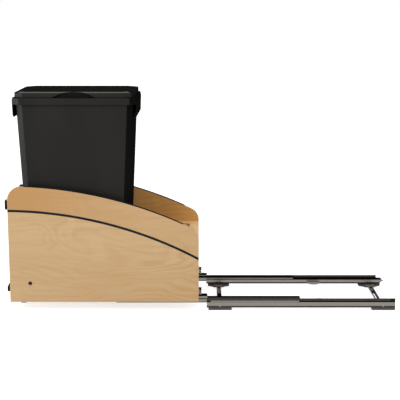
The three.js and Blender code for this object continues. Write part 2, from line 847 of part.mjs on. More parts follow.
function rearShelf() {
  const board = block(shelfFront, boxLength, -boardHalf, boardHalf, shelfUnder, shelfTop);
  const front = shelfFront + cutoutFrontWall;
  const rear = boxLength - cutoutRearWall;
  const hole = new THREE.Shape(roundedRectanglePoints(rear - front, cutoutWidth, cutoutRadius));
  const window = sweep('z', hole, shelfUnder - past, shelfTop + past);
  return cut(board, window.translate((front + rear) / 2, 0, 0));
}

function dividerBoard() {
  return block(shelfFront, shelfFront + boardThickness, -boardHalf, boardHalf,
    baseTop + seat, shelfUnder - seat);
}

// ---------------------------------------------------------------- box: door brackets

// A bracket is a side leaf let into the panel and a front leaf turned inwards, which takes
// the door's screws through a slot.
function doorBracket(leaf, bottom, height, holeX, holeZ, holeRadius) {
  const front = -bracketLead;
  const side = sweep('y', leaf, leafOuter, leafOuter + bracketSheet);
  const face = block(front, front + frontLeafSheet, leafOuter, frontLeafWidth, bottom, bottom + height);
  const middle = bottom + height / 2;
  const doorSlot = sweep('z', slot(0, 0, doorSlotHeight, doorSlotWidth), -past, frontLeafSheet + past);
  doorSlot.rotateY(-Math.PI / 2);
  doorSlot.translate(front + frontLeafSheet, (leafOuter + frontLeafWidth) / 2, middle);
  const hole = rod('y', holeX, holeZ, holeRadius, leafOuter - past, past);
  return cut(join(side, face), doorSlot, hole);
}

function bracketBolt() {
  const headInner = counterboreDepth - boardThickness - seat;
  return join(
    rod('y', 0, 0, boltHeadRadius, headInner - boltHeadHeight, headInner),
    rod('y', 0, 0, boltRadius, headInner - root, nutHeight + seat),
    rod('y', 0, 0, nutRadius, seat, nutHeight + seat, 6),
  );
}

function bracketScrew() {
  return join(
    rod('y', 0, 0, screwRadius, -screwDepth, screwHeadHeight),
    rod('y', 0, 0, screwHeadRadius, seat, screwHeadHeight),
  );
}

// ---------------------------------------------------------------- bin and lid

function binSections(shrink, bottom) {
  const rimUnder = binHeight - rimHeight;
  const at = (z) => ({
    length: binBottomLength + ((binTopLength - binBottomLength) * z) / rimUnder - 2 * shrink,
    width: binBottomWidth + ((binTopWidth - binBottomWidth) * z) / rimUnder - 2 * shrink,
    radius: binCornerRadius - shrink,
    z,
  });
  const foot = at(bottom);
  const round = binFootRound - shrink;
  return [
    { ...foot, length: foot.length - 2 * round, width: foot.width - 2 * round },
    at(bottom + round),
    at(rimUnder),
    { ...at(rimUnder), z: binHeight },
  ];
}

function grip() {
  const outer = rimLength / 2 + gripProud;
  const inner = outer - gripSheet;
  const footOuter = outer - gripDraft;
  const footInner = inner - gripDraft;
  const top = binHeight - gripTopSetDown;
  const bottom = top - gripHeight;
  const profile = polygon([
    [inner, top], [outer, top], [footOuter, bottom + gripHook], [footOuter - gripHook, bottom],
    [footInner - gripHook, bottom], [footInner - gripHook, bottom + gripHook],
    [footInner, bottom + 2 * gripHook],
  ]);
  return sweep('y', profile, -gripWidth / 2, gripWidth / 2);
}

function bin() {
  const rimUnder = binHeight - rimHeight;
  const rimShape = new THREE.Shape(roundedRectanglePoints(rimLength, rimWidth, rimCornerRadius));
  const hollowShape = new THREE.Shape(roundedRectanglePoints(
    rimLength - 2 * rimSheet, rimWidth - 2 * rimSheet, rimCornerRadius - rimSheet));
  const rim = cut(
    sweep('z', rimShape, rimUnder, binHeight),
    sweep('z', hollowShape, rimUnder - past, binHeight - rimSheet),
  );
  const body = join(loft(binSections(0, 0)), rim, grip(), grip().rotateZ(Math.PI));
  const cavity = binSections(binWall, binWall);
  cavity[3].z = binHeight + past;
  return cut(body, loft(cavity));
}

function lidSections(shrink) {
  const level = (setIn, setInSide, z) => ({
    length: lidLength - 2 * (setIn + shrink),
    width: lidWidth - 2 * (setInSide + shrink),
    radius: lidCornerRadius - shrink,
    z: z - shrink,
  });
  return [
    { ...level(0, 0, 0), z: shrink > 0 ? -past : 0 },
    level(0, 0, lidSkirtHeight),
    level(lidEdgeTuck, lidEdgeTuck, lidSkirtHeight + lidEdgeRound),
    level(lidShoulderSetIn, lidShoulderSetInSide, lidHeight - lidDomeRise),
    level(lidPlateauSetIn, lidPlateauSetInSide, lidHeight),
  ];
}

// The arch that a finger recess cuts into the lid's long side, grown by the shell inside it.
function thumbArch(grow) {
  const half = thumbChord / 2;
  const radius = (half ** 2 + lidHeight ** 2) / (2 * lidHeight);
  const centreZ = lidHeight - radius;
  const reach = Math.asin((-past - centreZ) / (radius + grow));
  return outline(arc(0, centreZ, radius + grow, reach, Math.PI - reach, archSteps));
}

function lid() {
  const lipLength = binTopLength - 2 * (binWall + lipClearance);
  const lipWidth = binTopWidth - 2 * (binWall + lipClearance);
  const lipRadius = binCornerRadius - binWall - lipClearance;
  const lipTop = lidHeight - lidDomeRise - lidShell;
  const lipShape = new THREE.Shape(roundedRectanglePoints(lipLength, lipWidth, lipRadius));
  lipShape.holes.push(new THREE.Path(roundedRectanglePoints(
    lipLength - 2 * lidShell, lipWidth - 2 * lidShell, lipRadius - lidShell)));
  const recess = sweep('y', thumbArch(0), -lidWidth / 2 - past, thumbDepth - lidWidth / 2);
  const recessShell = sweep('y', thumbArch(lidShell),
    -lidWidth / 2 - past, thumbDepth + lidShell - lidWidth / 2);
  const cavity = cut(loft(lidSections(lidShell)), recessShell, recessShell.clone().rotateZ(Math.PI));
  const shell = cut(loft(lidSections(0)), cavity);
  return cut(join(shell, sweep('z', lipShape, -lipDepth, lipTop)), recess, recess.clone().rotateZ(Math.PI));
}

function buildBox() {
  const group = new THREE.Group();
  group.position.x = boxFront;
  placePair(group, 'drawer_rail', drawerRail(), steel, drawerRailStart);
  placePair(group, 'rear_hook', rearHook(), steel);
  placePair(group, 'hook_peg', hookPeg(), blackSteel);
  placePair(group, 'clip_body', clipBody(), greyPlastic);
  placePair(group, 'clip_lever', clipLever(), greyPlastic);
  placePair(group, 'side_panel', sidePanel(), wood);
  placePair(group, 'top_band', topBand(), darkTrim);
  placePair(group, 'accent_stripe', accentStripe(), darkTrim);
  place(group, 'base_board', baseBoard(), wood);
  place(group, 'front_board', frontBoard(), wood);
  place(group, 'rear_board', rearBoard(), wood);
  place(group, 'rear_shelf', rearShelf(), wood);
  place(group, 'divider_board', dividerBoard(), wood);
  const upper = doorBracket(upperLeafOutline(0), upperLeafBottom, upperBracketHeight,
    screwPlaceX, screwAxis, screwRadius + runGap);
  const lower = doorBracket(lowerLeafOutline(0), lowerLeafBottom, lowerFrontLeafHeight,
    boltPlaceX, boltAxis, boltRadius + runGap);
  placePair(group, 'upper_bracket', upper, blackSteel);
  placePair(group, 'lower_bracket', lower, blackSteel);
  placePair(group, 'upper_bracket_screw', bracketScrew(), screwSteel, screwPlaceX, screwAxis);
  placePair(group, 'lower_bracket_bolt', bracketBolt(), screwSteel, boltPlaceX, boltAxis);

  const binGroup = new THREE.Group();
  binGroup.position.set(binPlace, 0, baseTop + seat);
  place(binGroup, 'bin', bin(), binPlastic);
  place(binGroup, 'lid', lid(), lidPlastic, 0, 0, binHeight + seat);
  group.add(binGroup);
  return group;
}

// ---------------------------------------------------------------- whole object

const pullOutBin = new THREE.Group();
pullOutBin.add(buildCabinetSide(), buildMiddleRails(), buildBox());

export default pullOutBin;
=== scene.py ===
import math

import bmesh
import bpy
import numpy as np
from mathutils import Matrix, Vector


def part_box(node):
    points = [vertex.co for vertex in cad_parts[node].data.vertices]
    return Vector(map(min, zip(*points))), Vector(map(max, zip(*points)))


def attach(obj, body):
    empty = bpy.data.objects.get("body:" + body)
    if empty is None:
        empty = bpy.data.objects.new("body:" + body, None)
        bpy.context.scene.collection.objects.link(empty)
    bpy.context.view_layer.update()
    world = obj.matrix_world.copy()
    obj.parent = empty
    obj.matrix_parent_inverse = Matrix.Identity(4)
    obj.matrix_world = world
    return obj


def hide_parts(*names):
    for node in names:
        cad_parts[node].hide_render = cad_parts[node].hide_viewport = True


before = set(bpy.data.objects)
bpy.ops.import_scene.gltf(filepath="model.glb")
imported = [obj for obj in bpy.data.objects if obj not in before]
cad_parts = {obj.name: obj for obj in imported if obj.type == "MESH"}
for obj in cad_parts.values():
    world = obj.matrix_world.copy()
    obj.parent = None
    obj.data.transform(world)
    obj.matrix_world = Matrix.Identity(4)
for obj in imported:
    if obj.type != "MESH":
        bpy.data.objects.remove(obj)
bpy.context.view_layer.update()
mm = 0.001


def boxOf(node):
    # A node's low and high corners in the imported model, in millimetres.
    low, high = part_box(node)
    return np.array(low) / mm, np.array(high) / mm


def centreOf(node):
    low, high = boxOf(node)
    return (low + high) / 2


panelLow, panelHigh = boxOf("side_panel_right")
binTop, lidTop = boxOf("bin")[1][2], boxOf("lid")[1][2]
innerHalf = -panelHigh[1]        # a side panel's inner face, from the centre line
board = panelHigh[1] - panelLow[1]
boxFront, boxRear = panelLow[0], panelHigh[0]
boxLength = boxRear - boxFront
hands = {"right": -1.0, "left": 1.0}
clearance = 0.05                 # a thin line between pieces that rest on each other
skip = 0.1                       # parts two joined surfaces that would lie in one plane
quarter = math.pi / 2


def cornered(points, radii, steps, closed=True):
    # Each corner of a line becomes an arc that touches both its sides: the arc's centre lies on the
    # corner's bisector, and its points turn evenly from one side to the other.
    points = np.asarray(points, float)
    radii = np.broadcast_to(np.asarray(radii, float), len(points)).copy()
    if not closed:
        radii[[0, -1]] = 0
    before = np.roll(points, 1, 0) - points
    after = np.roll(points, -1, 0) - points
    before /= np.maximum(np.linalg.norm(before, axis=1, keepdims=True), 1e-9)
    after /= np.maximum(np.linalg.norm(after, axis=1, keepdims=True), 1e-9)
    half = np.arccos(np.clip((before * after).sum(1), -1, 1)) / 2
    half = np.clip(half, 1e-3, quarter - 1e-3)
    bisector = before + after
    bisector /= np.maximum(np.linalg.norm(bisector, axis=1, keepdims=True), 1e-9)
    centre = points + bisector * (radii / np.sin(half))[:, None]
    reach = (radii / np.tan(half))[:, None]
    start = points + before * reach - centre
    end = points + after * reach - centre
    turn = (math.pi - 2 * half)[:, None, None]
    share = np.linspace(0, 1, steps + 1)[None, :, None]
    arc = (np.sin((1 - share) * turn) * start[:, None] + np.sin(share * turn) * end[:, None]) / np.sin(turn)
    line = (centre[:, None] + arc).reshape(-1, 2)
    keep = np.linalg.norm(line - np.roll(line, 1, 0), axis=1) > 1e-5
    keep[0] = keep[0] or not closed
    return line[keep]


def folded(line, sheet, bend, steps=4):
    # The middle line of a folded sheet with round bends, moved half the sheet to each side.
    middle = cornered(line, bend, steps, closed=False)
    along = np.gradient(middle, axis=0)
    along /= np.linalg.norm(along, axis=1, keepdims=True)
    across = np.stack([-along[:, 1], along[:, 0]], 1) * sheet / 2
    return np.concatenate([middle + across, (middle - across)[::-1]])


def rectangle(a0, a1, b0, b1):
    return np.array([[a0, b0], [a1, b0], [a1, b1], [a0, b1]], float)


def arcLine(a, b, radius, start, end, steps):
    angle = np.linspace(start, end, steps + 1)
    return np.stack([a + radius * np.cos(angle), b + radius * np.sin(angle)], 1)


def slotLine(centre, length, width, upright=False):
    # A round-ended slot that lies along the first number, or along the second when it is upright.
    reach = (length - width) / 2
    line = np.concatenate([arcLine(reach, 0, width / 2, -quarter, quarter, 10),
                           arcLine(-reach, 0, width / 2, quarter, 3 * quarter, 10)])
    return (line[:, ::-1] if upright else line) + centre


def skin(grid, caps=True):
    # A grid of rings, each closed on itself: four-sided faces between rings, one flat face at each end.
    rows, columns = grid.shape[:2]
    row = np.arange(rows - 1)[:, None] * columns
    column = np.arange(columns)[None, :]
    after = (column + 1) % columns
    quads = np.stack([row + column, row + after, row + columns + after, row + columns + column], -1)
    faces = quads.reshape(-1, 4).tolist()
    if caps:
        faces.append(list(range(columns))[::-1])
        faces.append(list(range((rows - 1) * columns, rows * columns)))
    return grid.reshape(-1, 3), faces


def lying(axis, first, second, along):
    # Rings of points from the two numbers across an axis and the place along it.
    order = {"x": (along, first, second), "y": (first, along, second), "z": (first, second, along)}[axis]
    return np.stack(np.broadcast_arrays(*order), -1)


def carry(profile, axis, places):
    # A flat profile carried along one axis and repeated at each place.
    first, second = np.asarray(profile, float).T
    return skin(lying(axis, first, second, np.asarray(places, float)[:, None]))


def turned(profile, axis, centre, sides):
    # A profile (place along the axis, radius) turned round the axis through a centre.
    along, radius = np.asarray(profile, float).T[:, :, None]
    angle = np.arange(sides) * 2 * math.pi / sides
    return skin(lying(axis, radius * np.cos(angle), radius * np.sin(angle), along) + np.asarray(centre, float))


def bore(start, end, radius, axis, centre, sides):
    return turned([(start, radius), (end, radius)], axis, centre, sides)


def block(x0, x1, y0, y1, z0, z1, ease):
    # A block with eased edges: a round-cornered section carried along X, drawn in by a quarter
    # circle at both ends.
    turn = np.linspace(0, quarter, 4)
    run, inset = ease * (1 - np.cos(turn)), ease * (1 - np.sin(turn))
    places = np.concatenate([x0 + run, (x1 - run)[::-1]])
    inset = np.concatenate([inset, inset[::-1]])[:, None, None]
    low, high = np.array([y0, z0]), np.array([y1, z1])
    middle, half = (low + high) / 2, (high - low) / 2
    section = middle + (cornered(rectangle(y0, y1, z0, z1), ease, 3) - middle) * (1 - inset / half)
    return skin(lying("x", section[..., 0], section[..., 1], places[:, None]))


def ringGrid(lengths, widths, radii, heights, cornerSteps, sideSteps, flat):
    # Round-cornered rectangles, one for each height: a quarter circle at each corner and even
    # steps along the straight sides, so that every ring has the same points. A higher "flat" draws
    # the corner in towards its chord, as the powers of the cosine and sine grow.
    lengths, widths, radii, heights = np.broadcast_arrays(*map(np.asarray, (lengths, widths, radii, heights)))
    angle = np.radians(np.arange(4)[:, None] * 90 + np.linspace(0, 90, cornerSteps + 1))
    turn = np.stack([np.cos(angle), np.sin(angle)], -1)
    turn = np.sign(turn) * np.abs(turn) ** flat
    signs = np.array([[1, 1], [-1, 1], [-1, -1], [1, -1]])
    half = np.stack([lengths, widths], -1) / 2 - radii[:, None]
    arcs = signs[None, :, None] * half[:, None, None] + radii[:, None, None, None] * turn[None]
    parts = []
    for corner in range(4):
        share = np.linspace(0, 1, sideSteps[corner % 2] + 2)[1:-1][None, :, None]
        start, end = arcs[:, corner, -1][:, None], arcs[:, (corner + 1) % 4, 0][:, None]
        parts += [arcs[:, corner], start + (end - start) * share]
    loop = np.concatenate(parts, 1)
    return np.concatenate([loop, np.broadcast_to(heights[:, None, None], loop.shape[:2] + (1,))], 2)


def shifted(surface, dx, dy=0.0, dz=0.0):
    return surface[0] + np.array([dx, dy, dz]), surface[1]


def handed(surface, side):
    # Pairs are drawn with their second number measured inwards from the side panel's inner face.
    points = surface[0].copy()
    points[:, 1] = side * (innerHalf - points[:, 1])
    return points, surface[1]


def newMesh(name, surfaces):
    points, faces, count = [], [], 0
    for part, partFaces in surfaces:
        points.append(part)
        faces += [[index + count for index in face] for face in partFaces]
        count += len(part)
    mesh = bpy.data.meshes.new(name)
    mesh.from_pydata((np.concatenate(points) * mm).tolist(), [], faces)
    work = bmesh.new()
    work.from_mesh(mesh)
    bmesh.ops.remove_doubles(work, verts=work.verts, dist=2e-7)
    bmesh.ops.recalc_face_normals(work, faces=work.faces)
    work.to_mesh(mesh)
    work.free()
    return mesh


def withCuts(name, mesh, cuts):
    # Closed shapes are taken out of the mesh, and the cutter is thrown away.
    body = bpy.data.objects.new(name + "Blank", mesh)
    cutter = bpy.data.objects.new(name + "Cutter", newMesh(name + "Cutter", cuts))
    for thing in (body, cutter):
        bpy.context.scene.collection.objects.link(thing)
    step = body.modifiers.new("cut", "BOOLEAN")
    step.object = cutter
    step.operation = "DIFFERENCE"
    step.solver = "EXACT"
    step.use_self = True
    bpy.context.view_layer.update()
    graph = bpy.context.evaluated_depsgraph_get()
    result = bpy.data.meshes.new_from_object(body.evaluated_get(graph))
    bpy.data.objects.remove(body)
    bpy.data.objects.remove(cutter)
    return result


def readBack(rows, name):
    values = np.empty(len(rows) * 3)
    rows.foreach_get(name, values)
    return values.reshape(-1, 3)


def cutSurface(name, surface, cut):
    # One surface with one shape taken out of it, as points and faces again.
    mesh = withCuts(name, newMesh(name, [surface]), [cut])
    points = readBack(mesh.vertices, "co") / mm
    faces = [list(face.vertices) for face in mesh.polygons]
    bpy.data.meshes.remove(mesh)
    return points, faces


def makePiece(name, surfaces, body, node, finish, slot, ease=0.0, smooth=32,
              cuts=(), extra=(), where=None, even=True):
    # Where a piece has several finishes, "where" says which one each face takes, from the X, Y and
    # Z of the faces' middles and of their normals.
    mesh = newMesh(name, surfaces)
    if cuts:
        mesh = withCuts(name, mesh, cuts)
    if extra:
        added = newMesh(name + "Added", extra)
        work = bmesh.new()
        work.from_mesh(mesh)
        work.from_mesh(added)
        work.to_mesh(mesh)
        work.free()
        bpy.data.meshes.remove(added)
    mesh.name = name
    mesh.materials.clear()
    for layer in [finish] if isinstance(finish, str) else finish:
        mesh.materials.append(finishes[layer])
    if where:
        middles, normals = readBack(mesh.polygons, "center") / mm, readBack(mesh.polygons, "normal")
        mesh.polygons.foreach_set("material_index", where(middles.T, normals.T).astype(np.int32))
    mesh.shade_smooth()
    mesh.set_sharp_from_angle(angle=math.radians(smooth))
    piece = bpy.data.objects.new(name, mesh)
    bpy.context.scene.collection.objects.link(piece)
    if ease:
        eased = piece.modifiers.new("easedEdges", "BEVEL")
        eased.width = ease * mm
        eased.segments = 2
        eased.limit_method = "ANGLE"
        eased.angle_limit = math.radians(smooth)
        eased.harden_normals = False
        eased.use_clamp_overlap = True
    if even:
        piece.modifiers.new("evenNormals", "WEIGHTED_NORMAL").keep_sharp = True
    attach(piece, body)
    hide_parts(node)


def pairPiece(name, node, hand, surfaces, body, finish, slot, ease=0.0, cuts=(), extra=(), **more):
    # One of a right and left pair, with its shapes turned to their side.
    surfaces, cuts, extra = ([handed(part, hands[hand]) for part in parts] for parts in (surfaces, cuts, extra))
    makePiece(name + hand.title(), surfaces, body, f"{node}_{hand}", finish, slot, ease,
              cuts=cuts, extra=extra, **more)


def upward(middle, normal):
    # For a piece whose second finish, painted shade or painted light, is on the faces that look up.
    return normal[2] > 0.6


def linear(tone):
    # A colour written 0 to 255 as it looks, in the linear numbers that the shader takes.
    tone = np.array(tone) / 255
    tone = np.where(tone <= 0.04045, tone / 12.92, ((tone + 0.055) / 1.055) ** 2.4)
    return (*tone.tolist(), 1.0)


class nodeTree:
    # The nodes of a material or a world, with a short word for each kind that is used here.
    def __init__(self, owner):
        owner.use_nodes = True
        self.nodes, self.links = owner.node_tree.nodes, owner.node_tree.links

    def add(self, kind, inputs=None, **settings):
        node = self.nodes.new("ShaderNode" + kind)
        for name, value in settings.items():
            setattr(node, name, value)
        for name, value in (inputs or {}).items():
            if isinstance(value, bpy.types.NodeSocket):
                self.links.new(value, node.inputs[name])
            else:
                node.inputs[name].default_value = value
        return node.outputs

    def feed(self, node, socket, value):
        self.links.new(value, self.nodes[node].inputs[socket])

    def noise(self, scale, detail, roughness, stretch=(1, 1, 1), place=(0, 0, 0), distortion=0.0):
        # Noise on Object coordinates, drawn out along each axis whose stretch is small.
        vector = self.add("Mapping", {"Vector": self.add("TexCoord")["Object"], "Scale": stretch,
                                      "Location": place})[0]
        return self.add("TexNoise", {"Vector": vector, "Scale": scale, "Detail": detail,
                                     "Roughness": roughness, "Distortion": distortion})["Fac"]

    def spread(self, value, low, high, lowOut=0.0, highOut=1.0):
        return self.add("MapRange", {"Value": value, "From Min": low, "From Max": high,
                                     "To Min": lowOut, "To Max": highOut})[0]

    def mix(self, factor, first, second):
        return self.add("Mix", {0: factor, 6: first, 7: second}, data_type="RGBA")[2]

    def maths(self, operation, first, second=0.0):
        return self.add("Math", {0: first, 1: second}, operation=operation)[0]

    def times(self, first, second):
        return self.maths("MULTIPLY", first, second)

    def plus(self, first, second):
        return self.maths("ADD", first, second)

    def minus(self, first, second):
        return self.maths("SUBTRACT", first, second)

    def bump(self, height, strength, depth):
        self.feed("Principled BSDF", "Normal", self.add("Bump", {"Height": height, "Strength": strength,
                                                                 "Distance": depth * mm})[0])

    def surface(self, tone, roughness):
        self.feed("Principled BSDF", "Base Color", tone)
        self.feed("Principled BSDF", "Roughness", roughness)


def newFinish(name, roughness, specular, metallic=0.0, coat=0.0, coatRoughness=0.1):
    material = bpy.data.materials.new(name)
    tree = nodeTree(material)
    constants = {"Roughness": roughness, "Metallic": metallic, "Specular IOR Level": specular,
                 "Coat Weight": coat, "Coat Roughness": coatRoughness}
    for socket, value in constants.items():
        tree.nodes["Principled BSDF"].inputs[socket].default_value = value
    return material, tree


sidePanel = {
    "height": 348.0, "cornerRadius": 40.0, "arcRadius": 1248.0, "arcCentre": -5.0, "arcSteps": 70, "ease": 0.9,
    "stripeHeight": 276.0, "stripeRadius": 1197.0, "stripeCentre": -12.0,
    "stripeWidth": 6.4, "stripeThick": 1.2,
    "bandStart": 48.0, "bandSetIn": 45.0, "bandThick": 1.0, "gap": 0.3, "trimRound": [0.45, 0.1],
    "upperLeaf": (50.0, 27.0), "lowerLeaf": (80.0, 34.5, 15.0, 11.5), "leafLead": 9.5, "leafSheet": 2.5,
    "bolt": (60.2, 57.0), "boltHole": 3.3, "counterbore": (6.0, 7.0),
    "screw": 30.0, "screwHole": (2.1, 7.3),
}
panelUnder = panelLow[2]
panelApex = panelUnder + sidePanel["height"]
stripeApex = panelUnder + sidePanel["stripeHeight"]
upperLeafLow = boxOf("upper_bracket_right")[0][2]
lowerLeafLow = boxOf("lower_bracket_right")[0][2]
boltPlace = np.array([sidePanel["bolt"][0], 0, panelUnder + sidePanel["bolt"][1]])
screwPlace = np.array([sidePanel["screw"], 0, upperLeafLow + sidePanel["upperLeaf"][1] / 2])


woodTones = {
    "outer": ((205, 173, 131), (196, 162, 117), (184, 140, 88)),        # pale, middle and dark
    # The inside tones are darker and redder: painted shade and bounced light for wood inside the box.
    "inner": ((220, 168, 100), (206, 152, 84), (182, 126, 62)),
    # The shelf tones are paler: painted light for the flat boards inside the box.
    "shelf": ((246, 204, 144), (238, 192, 128), (216, 166, 102)),
    "orange": (186, 138, 82), "pore": (150, 108, 62), "plyLight": (216, 180, 128), "plyDark": (170, 122, 72),
}
woodGrain = {
    "lines": 40.0, "sway": 13.0, "sharpness": 1.6, "streaks": 0.26, "fibres": 0.3, "pores": 0.24,
    "ply": 2.82, "plies": 0.62, "innerLines": 0.3, "warmFrom": (-0.22, 0.24), "warmTo": (-0.60, 0.82),
}


def panelInsideShade(tree, place, clouds, rings, tone):
    # Painted shade and bounced light: the side panel's faces inside the box take a darker,
    # redder tone. Above the stripe the outer face is warmer, most of all towards the front: the
    # distance from the stripe's own centre, less its radius, is the height over the stripe.
    radius = sidePanel["stripeRadius"]
    pale, middle, dark = [linear(shade) for shade in woodTones["inner"]]
    insideShadeTone = tree.mix(tree.times(rings, woodGrain["innerLines"]), tree.mix(clouds, pale, middle), dark)
    reachX = tree.minus(place[0], (boxFront + sidePanel["stripeCentre"]) * mm)
    reachZ = tree.minus(place[2], (stripeApex - radius) * mm)
    reach = tree.maths("SQRT", tree.plus(tree.maths("POWER", reachX, 2.0), tree.maths("POWER", reachZ, 2.0)))
    over = tree.spread(reach, (radius - 1) * mm, (radius + 1) * mm)
    (farX, least), (nearX, most) = woodGrain["warmFrom"], woodGrain["warmTo"]
    warm = tree.times(over, tree.spread(place[0], farX, nearX, least, most))
    tone = tree.mix(warm, tone, linear(woodTones["orange"]))
    # Painted shade: faces on the inner side of the panel take the darker, redder tone.
    inside = tree.maths("LESS_THAN", tree.maths("ABSOLUTE", place[1]), (innerHalf + 0.6) * mm)
    return tree.mix(inside, tone, insideShadeTone)


def woodFinish(name, grainAxis, thickAxis, veneer, thickFrom, paintInsideShade=False):
    # Rotary-cut veneer: growth lines that run along the grain and sway where slow noise lifts them,
    # fading in and out, over broad cloudy tone, fine fibres and short pores. The edges show the plies.
    material, tree = newFinish(name, roughness=0.5, specular=0.2, coat=0.05, coatRoughness=0.25)
    size, lengthwise, thickness = woodGrain, grainAxis == "x", "xyz".index(thickAxis)
    pale, middle, dark = [linear(shade) for shade in woodTones[veneer]]
    pore, plyLight, plyDark = [linear(woodTones[shade]) for shade in ("pore", "plyLight", "plyDark")]

    def grain(share, *settings, **more):
        return tree.noise(*settings, stretch=(share, 1, 1) if lengthwise else (1, share, 1), **more)

    place = tree.add("SeparateXYZ", {0: tree.add("TexCoord")["Object"]})
    across = tree.plus(place[1 if lengthwise else 0], place[2])
    sway = grain(0.38, 7.0, 2.5, 0.5, place=(0.405, 0.17, -0.082), distortion=0.5)
    growth = tree.plus(tree.times(across, size["lines"]), tree.times(sway, size["sway"]))
    rings = tree.spread(tree.maths("SINE", tree.times(growth, 2 * math.pi)), -1, 1)
    fade = tree.spread(grain(0.3, 9.0, 2.0, 0.5, place=(0.775, 0.2, 0.268)), 0.38, 0.68, 0.06, 0.42)
    fibres, threads = grain(0.03, 420.0, 4.0, 0.6), grain(0.03, 1500.0, 2.0, 0.5)
    streaks = tree.spread(grain(0.06, 75.0, 3.0, 0.55), 0.42, 0.72)
    clouds = tree.spread(grain(0.3, 4.0, 1.0, 0.4), 0.35, 0.68)
    pores = tree.spread(grain(0.12, 900.0, 1.0, 0.5), 0.66, 0.74)

    tone = tree.mix(clouds, pale, middle)
    tone = tree.mix(tree.times(tree.maths("POWER", rings, size["sharpness"]), fade), tone, dark)
    tone = tree.mix(tree.times(streaks, size["streaks"]), tone, dark)
    tone = tree.mix(tree.times(tree.spread(fibres, 0.45, 0.75), size["fibres"]), tone, dark)
    # The side panel's inside faces take painted shade and bounced light.
    if paintInsideShade:
        tone = panelInsideShade(tree, place, clouds, rings, tone)
    facing = tree.add("SeparateXYZ", {0: tree.add("TexCoord")["Normal"]})[thickness]
    edge = tree.spread(tree.maths("ABSOLUTE", facing), 0.75, 0.55)
    layer = tree.times(tree.minus(place[thickness], thickFrom * mm), 2 * math.pi / (size["ply"] * mm))
    plies = tree.mix(tree.spread(tree.maths("SINE", layer), -0.5, 0.5), plyLight, plyDark)
    plies = tree.mix(tree.times(fibres, 0.35), plies, pore)
    tone = tree.mix(tree.times(edge, size["plies"]), tone, plies)
    tone = tree.mix(tree.times(pores, size["pores"]), tone, pore)
    tree.surface(tone, tree.spread(fibres, 0.2, 0.8, 0.42, 0.6))
    height = tree.plus(tree.times(fibres, 0.6), tree.times(threads, 0.4))
    tree.bump(tree.minus(height, tree.times(pores, 0.5)), 0.35, 0.08)
    return material


def steelFinish(name, tone, dirt, roughness, metallic=1.0, specular=0.5, axis="x"):
    # Zinc-plated sheet: rolling streaks along the piece, a faint cloud in the plating, dark scuffs.
    material, tree = newFinish(name, roughness, specular, metallic)
    lines = tree.noise(900.0, 4.0, 0.6, {"x": (0.02, 1, 1), "y": (1, 0.02, 1)}[axis])
    cloud = tree.spread(tree.noise(45.0, 4.0, 0.6), 0.4, 0.7)
    scuff = tree.spread(tree.noise(160.0, 5.0, 0.7), 0.6, 0.75)
    mixed = linear(tone)
    for share, amount in ((lines, 0.35), (cloud, 0.16), (scuff, 0.2)):
        mixed = tree.mix(tree.times(share, amount), mixed, linear(dirt))
    tree.surface(mixed, tree.spread(lines, 0.2, 0.8, roughness - 0.06, roughness + 0.1))
    tree.bump(tree.plus(lines, tree.times(scuff, 0.5)), 0.25, 0.02)
    return material


def mouldedFinish(name, tone, lighter, roughness, specular, pebbles=1400.0, depth=0.05):
    # Moulded plastic: a fine pebbled skin, faint flow clouds and light rubbing.
    material, tree = newFinish(name, roughness, specular)
    pebble = tree.noise(pebbles, 2.0, 0.5)
    flow = tree.spread(tree.noise(9.0, 3.0, 0.5, (1, 1, 0.35)), 0.35, 0.7, 0.0, 0.5)
    rub = tree.spread(tree.noise(230.0, 4.0, 0.65, (1, 1, 0.12)), 0.6, 0.78)
    mixed = tree.mix(flow, linear(tone), linear(lighter))
    tree.surface(tree.mix(tree.times(rub, 0.25), mixed, linear(lighter)),
                 tree.spread(pebble, 0.3, 0.7, roughness - 0.06, roughness + 0.08))
    tree.bump(tree.plus(pebble, tree.times(rub, 0.3)), 0.3, depth)
    return material


